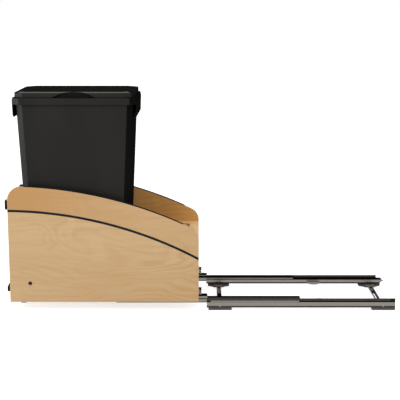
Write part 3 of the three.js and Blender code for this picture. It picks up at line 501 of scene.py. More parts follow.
finishes = {
    "panel": woodFinish("sidePanelVeneerShadedInside", "x", "y", "outer", innerHalf, paintInsideShade=True),
    # The flat boards take the paler shelf tones as painted light.
    "flatBoard": woodFinish("flatBoardVeneer", "x", "z", "shelf", boxOf("base_board")[0][2]),
    "crossBoard": woodFinish("crossBoardVeneer", "y", "x", "outer", boxFront),
    # The boards inside the box take the darker, redder inside tones as painted shade.
    "innerBoard": woodFinish("shadedInnerBoardVeneer", "y", "x", "inner", boxRear),
    "trim": mouldedFinish("darkTrim", (30, 36, 41), (44, 50, 55), 0.55, 0.0, 900.0, 0.03),
    "runner": steelFinish("runnerSteel", (150, 145, 138), (112, 106, 99), 0.34),
    # Black and brown-black copies of the runner steel are painted shade and dark reflection.
    "runnerTopShade": steelFinish("runnerSteelTopShade", (14, 12, 11), (26, 22, 19), 0.6, 0.0, 0.0),
    "runnerEdgeShade": steelFinish("runnerSteelEdgeShade", (72, 68, 63), (54, 50, 46), 0.6, 0.0, 0.02),
    "brace": steelFinish("braceSteel", (122, 117, 112), (96, 91, 86), 0.42, 0.85, axis="y"),
    # A darker copy of the brace steel is painted shade, a lighter one painted light.
    "braceEdgeShade": steelFinish("braceSteelEdgeShade", (68, 67, 68), (52, 51, 52), 0.55, 0.0, 0.04, axis="y"),
    "braceLitFloor": steelFinish("braceSteelLitFloor", (148, 142, 134), (120, 114, 107), 0.6, 0.0, 0.04, axis="y"),
    "fastener": steelFinish("fastenerSteel", (78, 76, 74), (48, 46, 44), 0.4, 0.7, axis="y"),
    "greyPlastic": mouldedFinish("greyPlastic", (104, 102, 106), (124, 122, 126), 0.6, 0.08),
    "cage": mouldedFinish("cagePlastic", (40, 38, 37), (60, 57, 55), 0.55, 0.06),
    "rubber": mouldedFinish("rubber", (24, 24, 25), (40, 40, 40), 0.8, 0.1, 700.0, 0.08),
    "blackMetal": steelFinish("blackMetal", (17, 16, 15), (32, 30, 28), 0.5, 0.0, 0.03),
    "blackPlastic": mouldedFinish("blackPlastic", (12, 12, 12), (24, 24, 24), 0.5, 0.02),
    "bin": mouldedFinish("binPlastic", (33, 32, 30), (42, 41, 38), 0.34, 0.11),
    # A darker, unglossy copy of the bin plastic is painted shade.
    "binShade": mouldedFinish("binPlasticShade", (20, 19, 18), (28, 27, 25), 0.6, 0.0),
    "lid": mouldedFinish("lidPlastic", (35, 34, 31), (43, 42, 39), 0.36, 0.1),
    # A lighter copy of the lid plastic is a painted highlight.
    "lidHighlight": mouldedFinish("lidPlasticHighlight", (47, 45, 41), (56, 54, 49), 0.42, 0.1),
    # A darker, unglossy copy of the lid plastic is painted shade.
    "lidShade": mouldedFinish("lidPlasticShade", (26, 25, 23), (33, 32, 30), 0.6, 0.0),
}
print("finishes:", len(finishes))


def arcHeight(x, centre, radius, apex):
    # Height of a long arc that is level over its centre.
    return apex - radius + np.sqrt(radius ** 2 - (x - centre) ** 2)


def panelOutline():
    # Flat foot, then a quarter round, the long arc and another quarter round, all tangent.
    centre, radius, corner = sidePanel["arcCentre"], sidePanel["arcRadius"], sidePanel["cornerRadius"]
    centreHeight, reach = panelApex - radius, radius - corner
    frontX, rearX = corner, boxLength - corner
    frontAngle, rearAngle = math.acos((frontX - centre) / reach), math.acos((rearX - centre) / reach)
    return np.concatenate([
        [[0, panelUnder], [boxLength, panelUnder]],
        arcLine(rearX, centreHeight + reach * math.sin(rearAngle), corner, 0, rearAngle, 12),
        arcLine(centre, centreHeight, radius, rearAngle, frontAngle, 60)[1:-1],
        arcLine(frontX, centreHeight + reach * math.sin(frontAngle), corner, frontAngle, math.pi, 18),
    ])


def followArc(profile, x0, x1, centre, radius, apex):
    # A section (offset across the arc, place across the panel) carried along a long arc: each
    # offset follows an arc of its own, larger by that offset.
    x, offset = np.linspace(x0, x1, sidePanel["arcSteps"] + 1)[:, None], profile[:, 0]
    return skin(lying("x", profile[:, 1], arcHeight(x, centre, radius + offset, apex + offset), x))


def upperLeaf(grow):
    reach, height = sidePanel["upperLeaf"]
    front, middle, radius = -sidePanel["leafLead"] - grow, screwPlace[2], height / 2 + grow
    end = arcLine(reach - height / 2, middle, radius, -quarter, quarter, 16)
    return np.concatenate([[[front, middle + radius], [front, middle - radius]], end])


def lowerLeaf(grow):
    reach, height, frontHeight, slope = sidePanel["lowerLeaf"]
    low, high, front = lowerLeafLow - grow, lowerLeafLow + height + grow, -sidePanel["leafLead"] - grow
    corner = [[front, low], [reach + grow, low], [reach + grow, high], [front + slope, high],
              [front, low + frontHeight + grow]]
    return cornered(corner, [0, 4, 4, 3, 0], 5)


def makePanels():
    size, gap, half = sidePanel, sidePanel["gap"], sidePanel["stripeWidth"] / 2
    outside, pocket = -board - 2, -clearance - size["leafSheet"] - gap
    stripeArc = (size["stripeCentre"], size["stripeRadius"], stripeApex)
    panelArc = (size["arcCentre"], size["arcRadius"], panelApex)
    shown, hidden = size["trimRound"]
    groove = rectangle(-half - gap, half + gap, outside, -board + size["stripeThick"] + gap)
    stripe = rectangle(-half, half, -board, -board + size["stripeThick"])
    band = rectangle(gap, gap + size["bandThick"], -board, 0)
    stripe = followArc(cornered(stripe, [shown, shown, hidden, hidden], 3), 0, boxLength, *stripeArc)
    band = followArc(cornered(band, [hidden, shown, shown, hidden], 3), size["bandStart"],
                     boxLength - size["bandSetIn"], *panelArc)
    sinkRadius, sinkDepth = size["counterbore"]
    screwRadius, screwDepth = size["screwHole"]
    cuts = [
        followArc(groove, -1, boxLength + 1, *stripeArc),
        carry(upperLeaf(gap), "y", [pocket, 1]),
        carry(lowerLeaf(gap), "y", [pocket, 1]),
        bore(outside, sinkDepth - board, sinkRadius, "y", boltPlace, 40),
        bore(sinkDepth - board - 1, 1, size["boltHole"], "y", boltPlace, 28),
        bore(-screwDepth, 1, screwRadius, "y", screwPlace, 24),
    ]
    panel, stripe, band, *cuts = [shifted(part, boxFront)
                                  for part in [carry(panelOutline(), "y", [-board, 0]), stripe, band, *cuts]]
    for hand in hands:
        pairPiece("sidePanel", "side_panel", hand, [panel], "box", "panel", "plywood", size["ease"], cuts)
        pairPiece("stripe", "accent_stripe", hand, [stripe], "box", "trim", "dark_trim")
        pairPiece("topBand", "top_band", hand, [band], "box", "trim", "dark_trim")


makePanels()
print("side panels, stripes and bands made")


boards = {
    "ease": 0.9, "pegHoleRadius": 4.0,
    "cutoutFrontWall": 26.0, "cutoutRearWall": 29.0, "cutoutWidth": 202.0, "cutoutRadius": 12.0,
}
pegY, pegZ = centreOf("hook_peg_right")[1:]
runnerLine = innerHalf + pegY    # the middle of a runner, from the side panel's inner face


def boardPiece(node, name, finish, axis, cuts=()):
    low, high = boxOf(node)
    first, second, third = {"x": (1, 2, 0), "z": (0, 1, 2)}[axis]
    section = rectangle(low[first], high[first], low[second], high[second])
    makePiece(name, [carry(section, axis, [low[third], high[third]])], "box", node, finish, "plywood",
              boards["ease"], cuts=cuts)


def makeBoards():
    boardPiece("base_board", "baseBoard", "flatBoard", "x")
    boardPiece("front_board", "frontBoard", "crossBoard", "z")
    boardPiece("divider_board", "dividerBoard", "innerBoard", "z")
    low, high = boxOf("rear_board")
    boardPiece("rear_board", "rearBoard", "innerBoard", "z", [
        bore(low[0] - 2, high[0] + 2, boards["pegHoleRadius"], "x", (0, y, pegZ), 28) for y in (pegY, -pegY)])
    low, high = boxOf("rear_shelf")
    half = boards["cutoutWidth"] / 2
    opening = rectangle(low[0] + boards["cutoutFrontWall"], high[0] - boards["cutoutRearWall"], -half, half)
    boardPiece("rear_shelf", "rearShelf", "flatBoard", "x", [
        carry(cornered(opening, boards["cutoutRadius"], 12), "z", [low[2] - 2, high[2] + 2])])


makeBoards()
print("boards made")


binSizes = {
    "footLength": 288.5, "footWidth": 226.0, "topLength": 342.0, "topWidth": 248.0,
    "height": 576.7, "wall": 3.0, "footRound": 6.0,
    "cornerReach": 20.0, "cornerFlat": 1.85, "rimCornerGrowth": 0.3,
    "rimLength": 361.0, "rimWidth": 266.0, "rimHeight": 20.0, "rimSheet": 3.0, "floorMiddle": -60.0,
    "gripWidth": 210.0, "gripProud": 2.05, "gripSheet": 3.0, "gripSetDown": 7.0, "gripHeight": 52.0,
    "gripDraft": 1.5, "gripCorner": 9.0, "rearFacing": 0.66,
    "sideRibs": (140.0, 7), "endRibs": (88.0, 5), "ribThick": 2.0, "ribSetUp": 5.0, "ribEase": 0.4,
}
binMiddle = centreOf("bin")[0]
binFoot = binTop - binSizes["height"]


def binShell():
    # One skin from the middle of the underside, out round the foot, up the wall, over the rim's
    # turned-down edge and down inside to the floor. Each ring is a round-cornered rectangle whose
    # size grows evenly with height, moved out or in by the profile.
    size = binSizes
    sheet, wall, top, middle = size["rimSheet"], size["wall"], size["height"], size["floorMiddle"]
    rimUnder = top - size["rimHeight"]
    out = (size["rimWidth"] - size["topWidth"]) / 2
    line = [(middle, 0), (0, 0), (0, top - sheet), (out - sheet, top - sheet), (out - sheet, rimUnder),
            (out, rimUnder), (out, top), (-wall, top), (-wall, wall), (middle, wall)]
    rounds = [0, size["footRound"], 1.2, 1.2, 0.7, 0.7, 2.2, 1.4, 4.0, 0]
    outward, height = cornered(line, rounds, 5, closed=False).T
    rise = np.clip(height / rimUnder, 0, 1)
    lengths = size["footLength"] + (size["topLength"] - size["footLength"]) * rise
    widths = size["footWidth"] + (size["topWidth"] - size["footWidth"]) * rise
    more = (size["rimLength"] - size["topLength"]) / 2 / out
    lengths = lengths + 2 * outward * np.where(outward > 0, more, 1)
    widths = widths + 2 * outward
    radii = np.clip(size["cornerReach"] + outward * np.where(outward > 0, size["rimCornerGrowth"], 1), 3, None)
    grid = ringGrid(lengths, widths, radii, height, 12, (10, 8), size["cornerFlat"])
    return shifted(skin(grid), binMiddle, 0, binFoot)


def grip(turn):
    # A hanging flap with a turned-in foot, carried across the bin's end; its lower corners are
    # rounded by drawing the section up along a quarter circle.
    size = binSizes
    outer = size["rimLength"] / 2 + size["gripProud"] - size["gripSheet"] / 2
    lower, corner, full = outer - size["gripDraft"], size["gripCorner"], size["gripHeight"]
    top = size["height"] - size["gripSetDown"]
    bottom = top - full
    line = [(outer, top), (lower, bottom + 3.4), (lower - 1.7, bottom + 1.3)]
    reach, height = folded(line, size["gripSheet"], 1.8).T
    turnIn = np.linspace(0, quarter, 8)
    ends = size["gripWidth"] / 2 - corner + corner * np.sin(turnIn)
    lift = corner * (1 - np.cos(turnIn))
    places = np.concatenate([-ends[::-1], ends])[:, None]
    lift = np.concatenate([lift[::-1], lift])[:, None]
    grid = lying("y", reach * turn, top - (top - height) * (full - lift) / full, places)
    return shifted(skin(grid), binMiddle, 0, binFoot)


def rimRibs():
    # Short gussets inside the rim's turned-down edge.
    size, half, ease = binSizes, binSizes["ribThick"] / 2, binSizes["ribEase"]
    low, high = size["height"] - size["rimHeight"] + size["ribSetUp"], size["height"] - size["rimSheet"] + 0.5
    (farX, countX), (farY, countY) = size["sideRibs"], size["endRibs"]
    ribs = []
    for way in (-1, 1):
        across = sorted((way * (size["topWidth"] / 2 - 1), way * (size["rimWidth"] / 2 - 1.5)))
        along = sorted((way * (size["topLength"] / 2 - 1), way * (size["rimLength"] / 2 - 1.5)))
        ribs += [block(x - half, x + half, *across, low, high, ease) for x in np.linspace(-farX, farX, countX)]
        ribs += [block(*along, y - half, y + half, low, high, ease) for y in np.linspace(-farY, farY, countY)]
    return [shifted(rib, binMiddle, 0, binFoot) for rib in ribs]


def binShadeMask(middle, normal):
    # The rear end, both grips, the inside and every face that looks up take the darker, unglossy copy: painted
    # shade.
    size, rimUnder, wall = binSizes, binTop - binSizes["rimHeight"], binSizes["wall"] - 0.1
    reach, side, height = np.abs(middle[0] - binMiddle), np.abs(middle[1]), middle[2]
    onGrip = (reach > size["rimLength"] / 2 - 1.1) & (normal[0] > -0.5)
    onGrip |= (reach > size["topLength"] / 2 + 3) & (height < rimUnder - 0.3)
    inside = (side < size["topWidth"] / 2 - wall) & (reach < size["topLength"] / 2 - wall) & (height > rimUnder)
    return (normal[2] > 0.5) | (normal[0] > size["rearFacing"]) | onGrip | inside


makePiece("bin", [binShell(), grip(1), grip(-1)] + rimRibs(), "bin", "bin", ["bin", "binShade"], "bin_plastic",
          smooth=40, where=binShadeMask)
print("bin made")


lidSizes = {
    "length": 349.0, "width": 254.0, "corner": 26.0, "cornerFlat": 1.85, "height": 17.0, "skirt": 12.4,
    "edgeRise": 2.2, "edgeTuck": 1.8, "domeRise": 0.8, "shoulder": (9.5, 16.0), "plateau": (20.0, 35.0),
    "middle": (60.0, 80.0), "shell": 2.5, "thumbChord": 124.0, "thumbDepth": 6.0, "thumbEdge": 0.5,
    "thumbRise": 3.4, "thumbTop": (30.0, 114.5), "flankFrom": 104.0, "rearFacing": 0.72,
    "lipDepth": 8.0, "lipTop": 13.4, "lipSheet": 2.5, "lipEase": 0.6, "lipSetIn": 4.0, "lipCorner": 18.0,
}
lidSeat = lidTop - lidSizes["height"]


def lidProfile():
    # Set-in along X, set-in along Y and height, from the underside's middle out to the skirt's
    # foot and up over the top, and how many of the points are on the underside.
    size = lidSizes
    skirt, shell, top, tuck = size["skirt"], size["shell"], size["height"], size["edgeTuck"]
    shoulder, plateau, middle = [np.array(size[name]) for name in ("shoulder", "plateau", "middle")]
    shoulderHeight, edgeHeight = top - size["domeRise"], skirt + size["edgeRise"]

    def ring(setIn, height):
        return [*np.broadcast_to(setIn, 2), height]

    under = [ring(middle, top - shell), ring(plateau + shell, top - shell),
             ring(shoulder + shell, shoulderHeight - shell), ring(tuck + shell + 1, skirt - 0.6)]
    under += [ring(shell, z) for z in np.linspace(skirt - 2.2, 0.5, 14)] + [ring(shell - 0.5, 0)]
    over = [ring(0.5, 0)] + [ring(0, z) for z in np.linspace(0.5, skirt, 22)]
    over += [ring(tuck * (1 - math.cos(turn)), skirt + size["edgeRise"] * math.sin(turn))
             for turn in np.linspace(0.12, 1, 6) * quarter]
    over += [ring(tuck + (shoulder - tuck) * share, edgeHeight + (shoulderHeight - edgeHeight) * share)
             for share in np.linspace(0.1, 1, 9)]
    for share in (0.12, 0.4, 0.7, 1.0):
        rise = size["domeRise"] * math.sin(share * quarter)
        over.append(ring(shoulder + (plateau - shoulder) * share, shoulderHeight + rise))
    return np.array(under + over + [ring(middle, top)]), len(under)


def arch(rise):
    # The radius of the arc that has the thumb recess's chord and this rise.
    return ((lidSizes["thumbChord"] / 2) ** 2 + rise ** 2) / (2 * rise)


def lidShell():
    # The rings of the profile, with a thumb recess in both long sides: inside an arch the surface
    # is held back to a flat floor, and the wall behind it steps in by the same depth.
    size = lidSizes
    profile, outerFrom = lidProfile()
    setInX, setInY, height = profile.T
    radii = np.clip(size["corner"] - 0.3 * setInX, 12, None)
    grid = ringGrid(size["length"] - 2 * setInX, size["width"] - 2 * setInY, radii, height, 10, (140, 16),
                    size["cornerFlat"])
    radius = arch(size["height"])
    inward = radius - np.hypot(grid[:, :, 0], grid[:, :, 2] - size["height"] + radius)
    shell = np.where(np.arange(len(grid)) < outerFrom, size["shell"], 0)[:, None]
    floor = size["width"] / 2 - size["thumbDepth"] - shell
    share = np.clip((inward + shell) / size["thumbEdge"], 0, 1)
    side = np.abs(grid[:, :, 1])
    grid[:, :, 1] = np.sign(grid[:, :, 1]) * (side - share * np.clip(side - floor, 0, None))
    return shifted(skin(grid), binMiddle, 0, lidSeat)


def lidLip():
    # The locating lip below the lid: a thin upright band, round-cornered, open at its middle.
    size = lidSizes
    sheet, ease, foot, top = size["lipSheet"], size["lipEase"], -size["lipDepth"], size["lipTop"]
    setIn, height = np.array([(ease, foot), (0, foot + ease), (0, top), (sheet, top), (sheet, foot + ease),
                              (sheet - ease, foot), (ease, foot)]).T
    inset = 2 * (size["lipSetIn"] + setIn)
    grid = ringGrid(binSizes["topLength"] - inset, binSizes["topWidth"] - inset, size["lipCorner"] - setIn,
                    height, 10, (10, 8), size["cornerFlat"])
    return shifted(skin(grid, caps=False), binMiddle, 0, lidSeat)


def lidLayers(middle, normal):
    # Skirt; the slope along both long sides, lighter as a painted highlight; and the top, ends and
    # thumb recess, darker and unglossy as painted shade. On the slope the recess's arch closes in an ellipse.
    size = lidSizes
    along, side, height = np.abs(middle[0] - binMiddle), np.abs(middle[1]), middle[2]
    top, flank = normal[2] > 0.25, side > size["flankFrom"]
    slope = top & (np.abs(normal[1]) > np.abs(normal[0])) & (height < lidTop - 0.9) & flank
    rise = size["height"] + size["thumbRise"]
    thumb = (np.hypot(along, height - lidSeat - rise + arch(rise)) < arch(rise)) & flank
    thumb &= ~slope & (side < size["width"] / 2 - size["thumbDepth"] + 0.6)
    topHalf, topFrom = size["thumbTop"]
    reach = np.clip((side - topFrom) / (size["width"] / 2 - size["edgeTuck"] - topFrom), 0, 1)
    thumb |= slope & (along < topHalf * np.sqrt(reach))
    # Painted shade on the top, ends and thumb recess; painted highlight on the slope.
    matte = (top & ~slope) | thumb | (normal[0] > size["rearFacing"])
    return np.where(matte, 2, np.where(slope, 1, 0))


makePiece("lid", [lidShell(), lidLip()], "lid", "lid", ["lid", "lidHighlight", "lidShade"], "lid_plastic", smooth=30,
          where=lidLayers)
print("lid made")


runner = {
    "sheet": 1.5, "outer": 1.3, "width": 29.0, "wallStep": 0.7, "stepHeight": 27.4, "bend": 1.6, "lip": 7.3,
    "hem": 13.2, "groove": (24.9, 28.9), "bead": (-28.0, 236.0, 25.7, 29.6), "rise": 0.7,
    "relief": (14.0, 28.5), "innerBrown": 30.0, "middleRise": (1.5, 4.8, 3.0, 1.2), "plateFold": 5.7,
    "kink": 0.2, "rolledIn": 0.15,
    "middleWidth": 17.6, "keelWidth": 7.6, "rollerSpacing": 44.0, "rollerHeight": 4.6, "cageWebs": (0.25, 2.1),
    "tabPlace": 342.7, "tabRadius": 20.0, "tabReach": 27.0, "tabSlot": (14.0, 5.0), "rearTab": (6.0, 4.0),
}
sheetHalf = runner["sheet"] / 2
wallLine = runner["outer"] + sheetHalf
wallIn = runner["outer"] + runner["sheet"]
runnerIn = runner["outer"] + runner["width"]
# Plain steel, a black and a brown-black copy as painted shade, and a lighter copy as painted light.
steelLayers = ["runner", "runnerTopShade", "runnerEdgeShade", "braceLitFloor"]


def trough(middle, half, bottom, top, sheet, bend):
    # The section of a folded channel that is open at its top.
    near, far = middle - half, middle + half
    return folded([(near, top), (near, bottom), (far, bottom), (far, top)], sheet, bend)


def cabinetRail(hand):
    # Upright wall with a hem, a groove and a step towards its top, cut lower at its rear end, and a
    # web folded out of it and turned up into a lip. It carries a bead, a slotted floor tab and a
    # small rear tab.
    size, sheet, side = runner, runner["sheet"], hands[hand]
    low, high = boxOf("cabinet_rail_" + hand)
    webTop = boxOf("rear_stop_" + hand)[0][2] - clearance
    lipTop, (tabLong, tabHigh) = webTop + size["lip"], size["rearTab"]
    rear = high[0] - tabLong
    stepIn, hem, (grooveLow, grooveHigh) = size["wallStep"], size["hem"], size["groove"]
    reliefLength, reliefHeight = size["relief"]
    relieved = rear - reliefLength
    kink, rolledIn, step = size["kink"], size["rolledIn"], size["stepHeight"]
    foot = [(kink, low[2]), (kink, hem), (0, hem + 0.5), (0, grooveLow), (rolledIn, grooveLow + 0.3),
            (rolledIn, step - 0.4), (stepIn, step + 0.4)]
    top = [(stepIn, grooveHigh), (stepIn - kink, grooveHigh + 0.4), (stepIn - kink, size["innerBrown"]),
           (stepIn - kink, high[2] + size["rise"])]
    wall, lowWall = [folded(np.add(foot + end, [wallLine, 0]), sheet, kink, 2)
                     for end in (top, [(stepIn, reliefHeight)])]
    webLine = webTop - sheetHalf
    web = folded([(wallIn - kink, webLine), (runnerIn - sheetHalf, webLine), (runnerIn - sheetHalf, lipTop)],
                 sheet, size["bend"])
    beadFrom, beadTo, beadLow, beadHigh = size["bead"]
    radius, middle = size["tabRadius"], size["tabReach"] - size["tabRadius"]
    place = np.array([low[0] + size["tabPlace"], runnerIn])
    tab = [[[-radius, -1.2], [radius, -1.2]], arcLine(0, middle, radius, 0, math.pi, 28)]
    tab = np.concatenate(tab) + place
    tab = cutSurface("floorTab", carry(tab, "z", [webTop - sheet, webTop]),
                     carry(slotLine(place + [0, middle], *size["tabSlot"]), "z", [webTop - 4, webTop + 2]))
    rearTab = rectangle(rear - 3, high[0], lipTop - tabHigh, lipTop - skip)
    surfaces = [
        carry(wall, "x", [low[0], relieved]),
        carry(lowWall, "x", [relieved + 0.02, rear]),
        carry(web, "x", [low[0] + skip, rear - skip]),
        tab,
        carry(rearTab, "y", [runnerIn - sheet + skip, runnerIn - skip]),
        block(beadFrom, beadTo, size["outer"] + 0.1, wallLine, beadLow, beadHigh, 0.3),
    ]

    def layers(middle, normal):
        # Plain steel outside; black painted shade in the groove and all over the inside, brown-black
        # painted shade along both edges of the wall; the bead stays plain, and the floor tab's top takes
        # the lighter copy as painted light.
        along, inward, height = middle[0], innerHalf - np.abs(middle[1]), middle[2]
        facingIn, facingUp = -normal[1] * side > 0.5, upward(middle, normal)
        onBead = (inward < wallLine + 0.1) & (height > beadLow - 0.1) & (height < beadHigh + 0.1)
        onBead &= (along < (beadFrom + beadTo) / 2 + 1) | (np.abs(along - beadTo) < 1)
        onBead &= along > beadFrom - 1
        lower, groove = height < hem, (height > grooveLow) & (height < grooveHigh + 0.2)
        upper = height > np.where(facingIn, size["innerBrown"], grooveHigh)
        wallLayer = np.where(lower | upper, 2, np.where(groove | facingIn, 1, 0))
        webLayer = np.where(facingUp | (~facingIn & (np.abs(normal[1]) > 0.5)), 1, 0)
        webLayer = np.where(inward > runnerIn + 0.05, np.where(facingUp, 3, 0), webLayer)
        return np.where(onBead, 0, np.where(inward < wallLine + stepIn + sheet, wallLayer, webLayer))

    pairPiece("cabinetRail", "cabinet_rail", hand, surfaces, "cabinet_frame", steelLayers, "runner_steel", 0.2,
              where=layers)


def middleRail(hand):
    # An upright channel whose top edges are rolled in a little, above a line along each wall.
    low, high = boxOf("middle_rail_" + hand)
    half = runner["middleWidth"] / 2 - sheetHalf
    rise, roll, hem, drop = runner["middleRise"]
    top, rolled, bottom = high[2] + rise, high[2] + rise - roll, low[2] - drop
    kink, inner = runner["kink"], half - runner["rolledIn"]
    edge = [(inner, top), (inner, rolled + kink), (half, rolled - kink), (half, bottom + sheetHalf)]
    line = [(runnerLine - a, b) for a, b in edge] + [(runnerLine + a, b) for a, b in edge[::-1]]
    bends = [0, kink, kink, runner["bend"]]
    channel = carry(folded(line, runner["sheet"], bends + bends[::-1]), "x", [low[0], high[0]])

    def layers(middle, normal):
        # Plain steel outside; black painted shade inside, underneath and along the rolled top edges,
        # which take brown-black painted shade on the outer side.
        inward, height = innerHalf - np.abs(middle[1]), middle[2]
        outside = (np.abs(inward - runnerLine) > half + 0.2) & (np.abs(normal[2]) < 0.6)
        bright = outside & (height < rolled) & (height > bottom + hem)
        brown = outside & (height > rolled) & (normal[1] * hands[hand] > 0.5)
        return np.where(bright, 0, np.where(brown, 2, 1))

    pairPiece("middleRail", "middle_rail", hand, [channel], "middle_" + hand, steelLayers[:3],
              "runner_steel", 0.2, where=layers)


def drawerRail(hand):
    # A flat top with its outer edge folded down, over a narrow hollow keel.
    low, high = boxOf("drawer_rail_" + hand)
    sheet, plateLine = runner["sheet"], high[2] - sheetHalf
    plate = folded([(wallLine, plateLine - runner["plateFold"]), (wallLine, plateLine), (runnerIn, plateLine)],
                   sheet, 1.3)
    keelHalf = runner["keelWidth"] / 2 - sheetHalf
    keel = trough(runnerLine, keelHalf, low[2] + sheetHalf, high[2] - sheet, sheet, 1.2)
    # Faces that look up take the black painted shade.
    pairPiece("drawerRail", "drawer_rail", hand,
              [carry(plate, "x", [low[0], high[0]]), carry(keel, "x", [low[0] + skip, high[0] - skip])],
              "box", steelLayers[:2], "runner_steel", 0.2, where=upward)


def rollerCage(name, node, hand, reach, gap, under, web, rollerBase):
    # A thin channel whose two upright walls hold short rollers at even steps.
    low, high = boxOf(f"{node}_{hand}")
    spacing, length, top = runner["rollerSpacing"], high[0] - low[0], high[2]
    radius = gap / 2 - 0.3
    half = radius / 2
    a, b = runnerLine - reach, runnerLine + reach
    line = [(a - half, under), (b + half, under), (b + half, top), (b - half, top),
            (b - half, under + web), (a + half, under + web), (a + half, top), (a - half, top)]
    count = int((length - spacing / 2) // spacing)
    places = low[0] + (length - (count - 1) * spacing) / 2 + np.arange(count) * spacing
    rollerTop = rollerBase + runner["rollerHeight"]
    profile = [(rollerBase, radius * 0.6), (rollerBase + 0.3, radius), (rollerTop - 0.3, radius),
               (rollerTop, radius * 0.6)]
    rollers = [turned(profile, "z", (x, y, 0), 14) for x in places for y in (a, b)]
    pairPiece(name, node, hand, [carry(line, "x", [low[0], high[0]])] + rollers, f"{node}_{hand}", "cage",
              "cage_plastic", even=False)


def makeRunners():
    middleHalf, keelHalf = runner["middleWidth"] / 2, runner["keelWidth"] / 2
    gap = runner["width"] / 2 - runner["sheet"] - middleHalf
    keelGap = middleHalf - runner["sheet"] - keelHalf
    outerWeb, innerWeb = runner["cageWebs"]
    outerLow, innerLow, keelLow = [boxOf(node)[0][2]
                                   for node in ("outer_cage_right", "inner_cage_right", "drawer_rail_right")]
    for hand in hands:
        cabinetRail(hand)
        middleRail(hand)
        drawerRail(hand)
        rollerCage("outerCage", "outer_cage", hand, middleHalf + gap / 2, gap,
                   outerLow - outerWeb, outerWeb, outerLow + 1.3)
        rollerCage("innerCage", "inner_cage", hand, keelHalf + keelGap / 2, keelGap,
                   innerLow, innerWeb, keelLow + 0.3)


makeRunners()
print("runners made")


braceSizes = {
    "sheet": 3.0, "setIn": 0.5, "reach": 37.0, "stem": 14.0, "stemSheet": 2.0, "stemBend": 1.8,
    "flare": ((0.5, 3.0, 8.0, 13.0, 18.0, 30.0, 37.0), (35.0, 34.0, 25.5, 18.5, 15.5, 12.5, 9.0)),
    "lengths": {"front": 70.0, "rear": 72.0}, "blackTo": {"front": 43.0, "rear": 72.0},
    "screwRadius": 2.2, "screwPlace": 60.0, "slot": (90.0, 5.0), "cheek": 44.0, "cheekTop": 19.4,
    "cheekSheet": 2.0, "padReach": 20.0, "chamfer": 4.0, "rivet": (2.4, 4.0, 0.9),
    "stopWidth": 15.0, "stopEnd": 3.4,
}


def footLine(end, reach):
    # Half of a brace's outline: full width at the foot, then a hollow curve that falls in quickly
    # and runs out along the neck, as one share of its width for each distance from the foot.
    size, length = braceSizes, braceSizes["lengths"][end]
    place = np.linspace(size["setIn"], size["reach"], 30)
    flare = np.interp(place, *size["flare"])
    flare[1:-1] = np.convolve(flare, [0.25, 0.5, 0.25], "valid")
    half = flare * length / size["lengths"]["front"]
    keep = place <= reach + 1e-6
    right = np.stack([half[keep], place[keep]], 1)
    return np.concatenate([[[-length / 2, size["setIn"]]], right, (right * [-1, 1])[:0:-1]])


def crossBrace(end):
    # A trough from side to side, with a flat foot plate and an upright cheek at each end.
    size, node, blackTo = braceSizes, end + "_brace", braceSizes["blackTo"][end]
    middle = centreOf(node)[0]
    sheet, screwPlaces = size["stemSheet"], size["screwPlace"]
    under = boxOf("front_foot_pad_right")[1][2] + clearance
    top, cheekOut = under + size["sheet"], wallIn + clearance
    reach = innerHalf - size["padReach"] - 1.0
    channel = trough(middle, (size["stem"] - sheet) / 2, sheet / 2, top - skip, sheet, size["stemBend"])
    stem = carry(channel, "y", [-reach, blackTo - 0.3, blackTo + 0.3, reach])
    cuts = [bore(-2, 4, size["screwRadius"], "z", (middle, y, 0), 20) for y in (-screwPlaces, screwPlaces)]
    if end == "rear":
        cuts.append(carry(slotLine((middle, 0), *size["slot"], upright=True), "z", [-2, 4]))
    plate = carry(footLine(end, size["reach"]) + [middle, 0], "z", [under, top])
    cheek = rectangle(middle - size["cheek"] / 2, middle + size["cheek"] / 2, top - 1.5, size["cheekTop"])
    cheek = carry(cornered(cheek, [0, 0, 3, 3], 5), "y", [cheekOut, cheekOut + size["cheekSheet"]])
    feet = [handed(part, side) for side in (-1, 1) for part in (plate, cheek)]

    def layers(middle, normal):
        # The trough of the stem is black over most of its length and lighter beyond as painted light;
        # the foot plates' tops take the lighter copy as painted light and their other faces the darker
        # copy as painted shade.
        onPlate = np.abs(middle[1]) > innerHalf - size["reach"] - 0.1
        plateLayer = np.where(upward(middle, normal), 3, 2)
        stemLayer = np.where(normal[2] > 0.3, np.where(middle[1] < blackTo, 1, 3), 0)
        return np.where(onPlate, plateLayer, stemLayer)

    makePiece(end + "Brace", [stem], "cabinet_frame", node, ["brace", "runnerTopShade", "braceEdgeShade", "braceLitFloor"],
              "brace_steel", 0.35, cuts=cuts, extra=feet, where=layers)


def footPad(hand, end):
    # The plastic pad under a brace's foot; the rear ones are chamfered along their front edge.
    node = end + "_foot_pad"
    low, high = boxOf(f"{node}_{hand}")
    pad = carry(footLine(end, braceSizes["padReach"]) + [(low[0] + high[0]) / 2, 0], "z", [0, high[2]])
    cuts = []
    if end == "rear":
        front, chamfer = low[0] - 1, braceSizes["chamfer"]
        wedge = [(front, -1), (front + chamfer + 2, -1), (front, chamfer + 1)]
        cuts = [carry(wedge, "y", [-2, braceSizes["padReach"] + 2])]
    pairPiece(end + "Pad", node, hand, [pad], "cabinet_frame", "greyPlastic", "grey_plastic", 0.5, cuts)


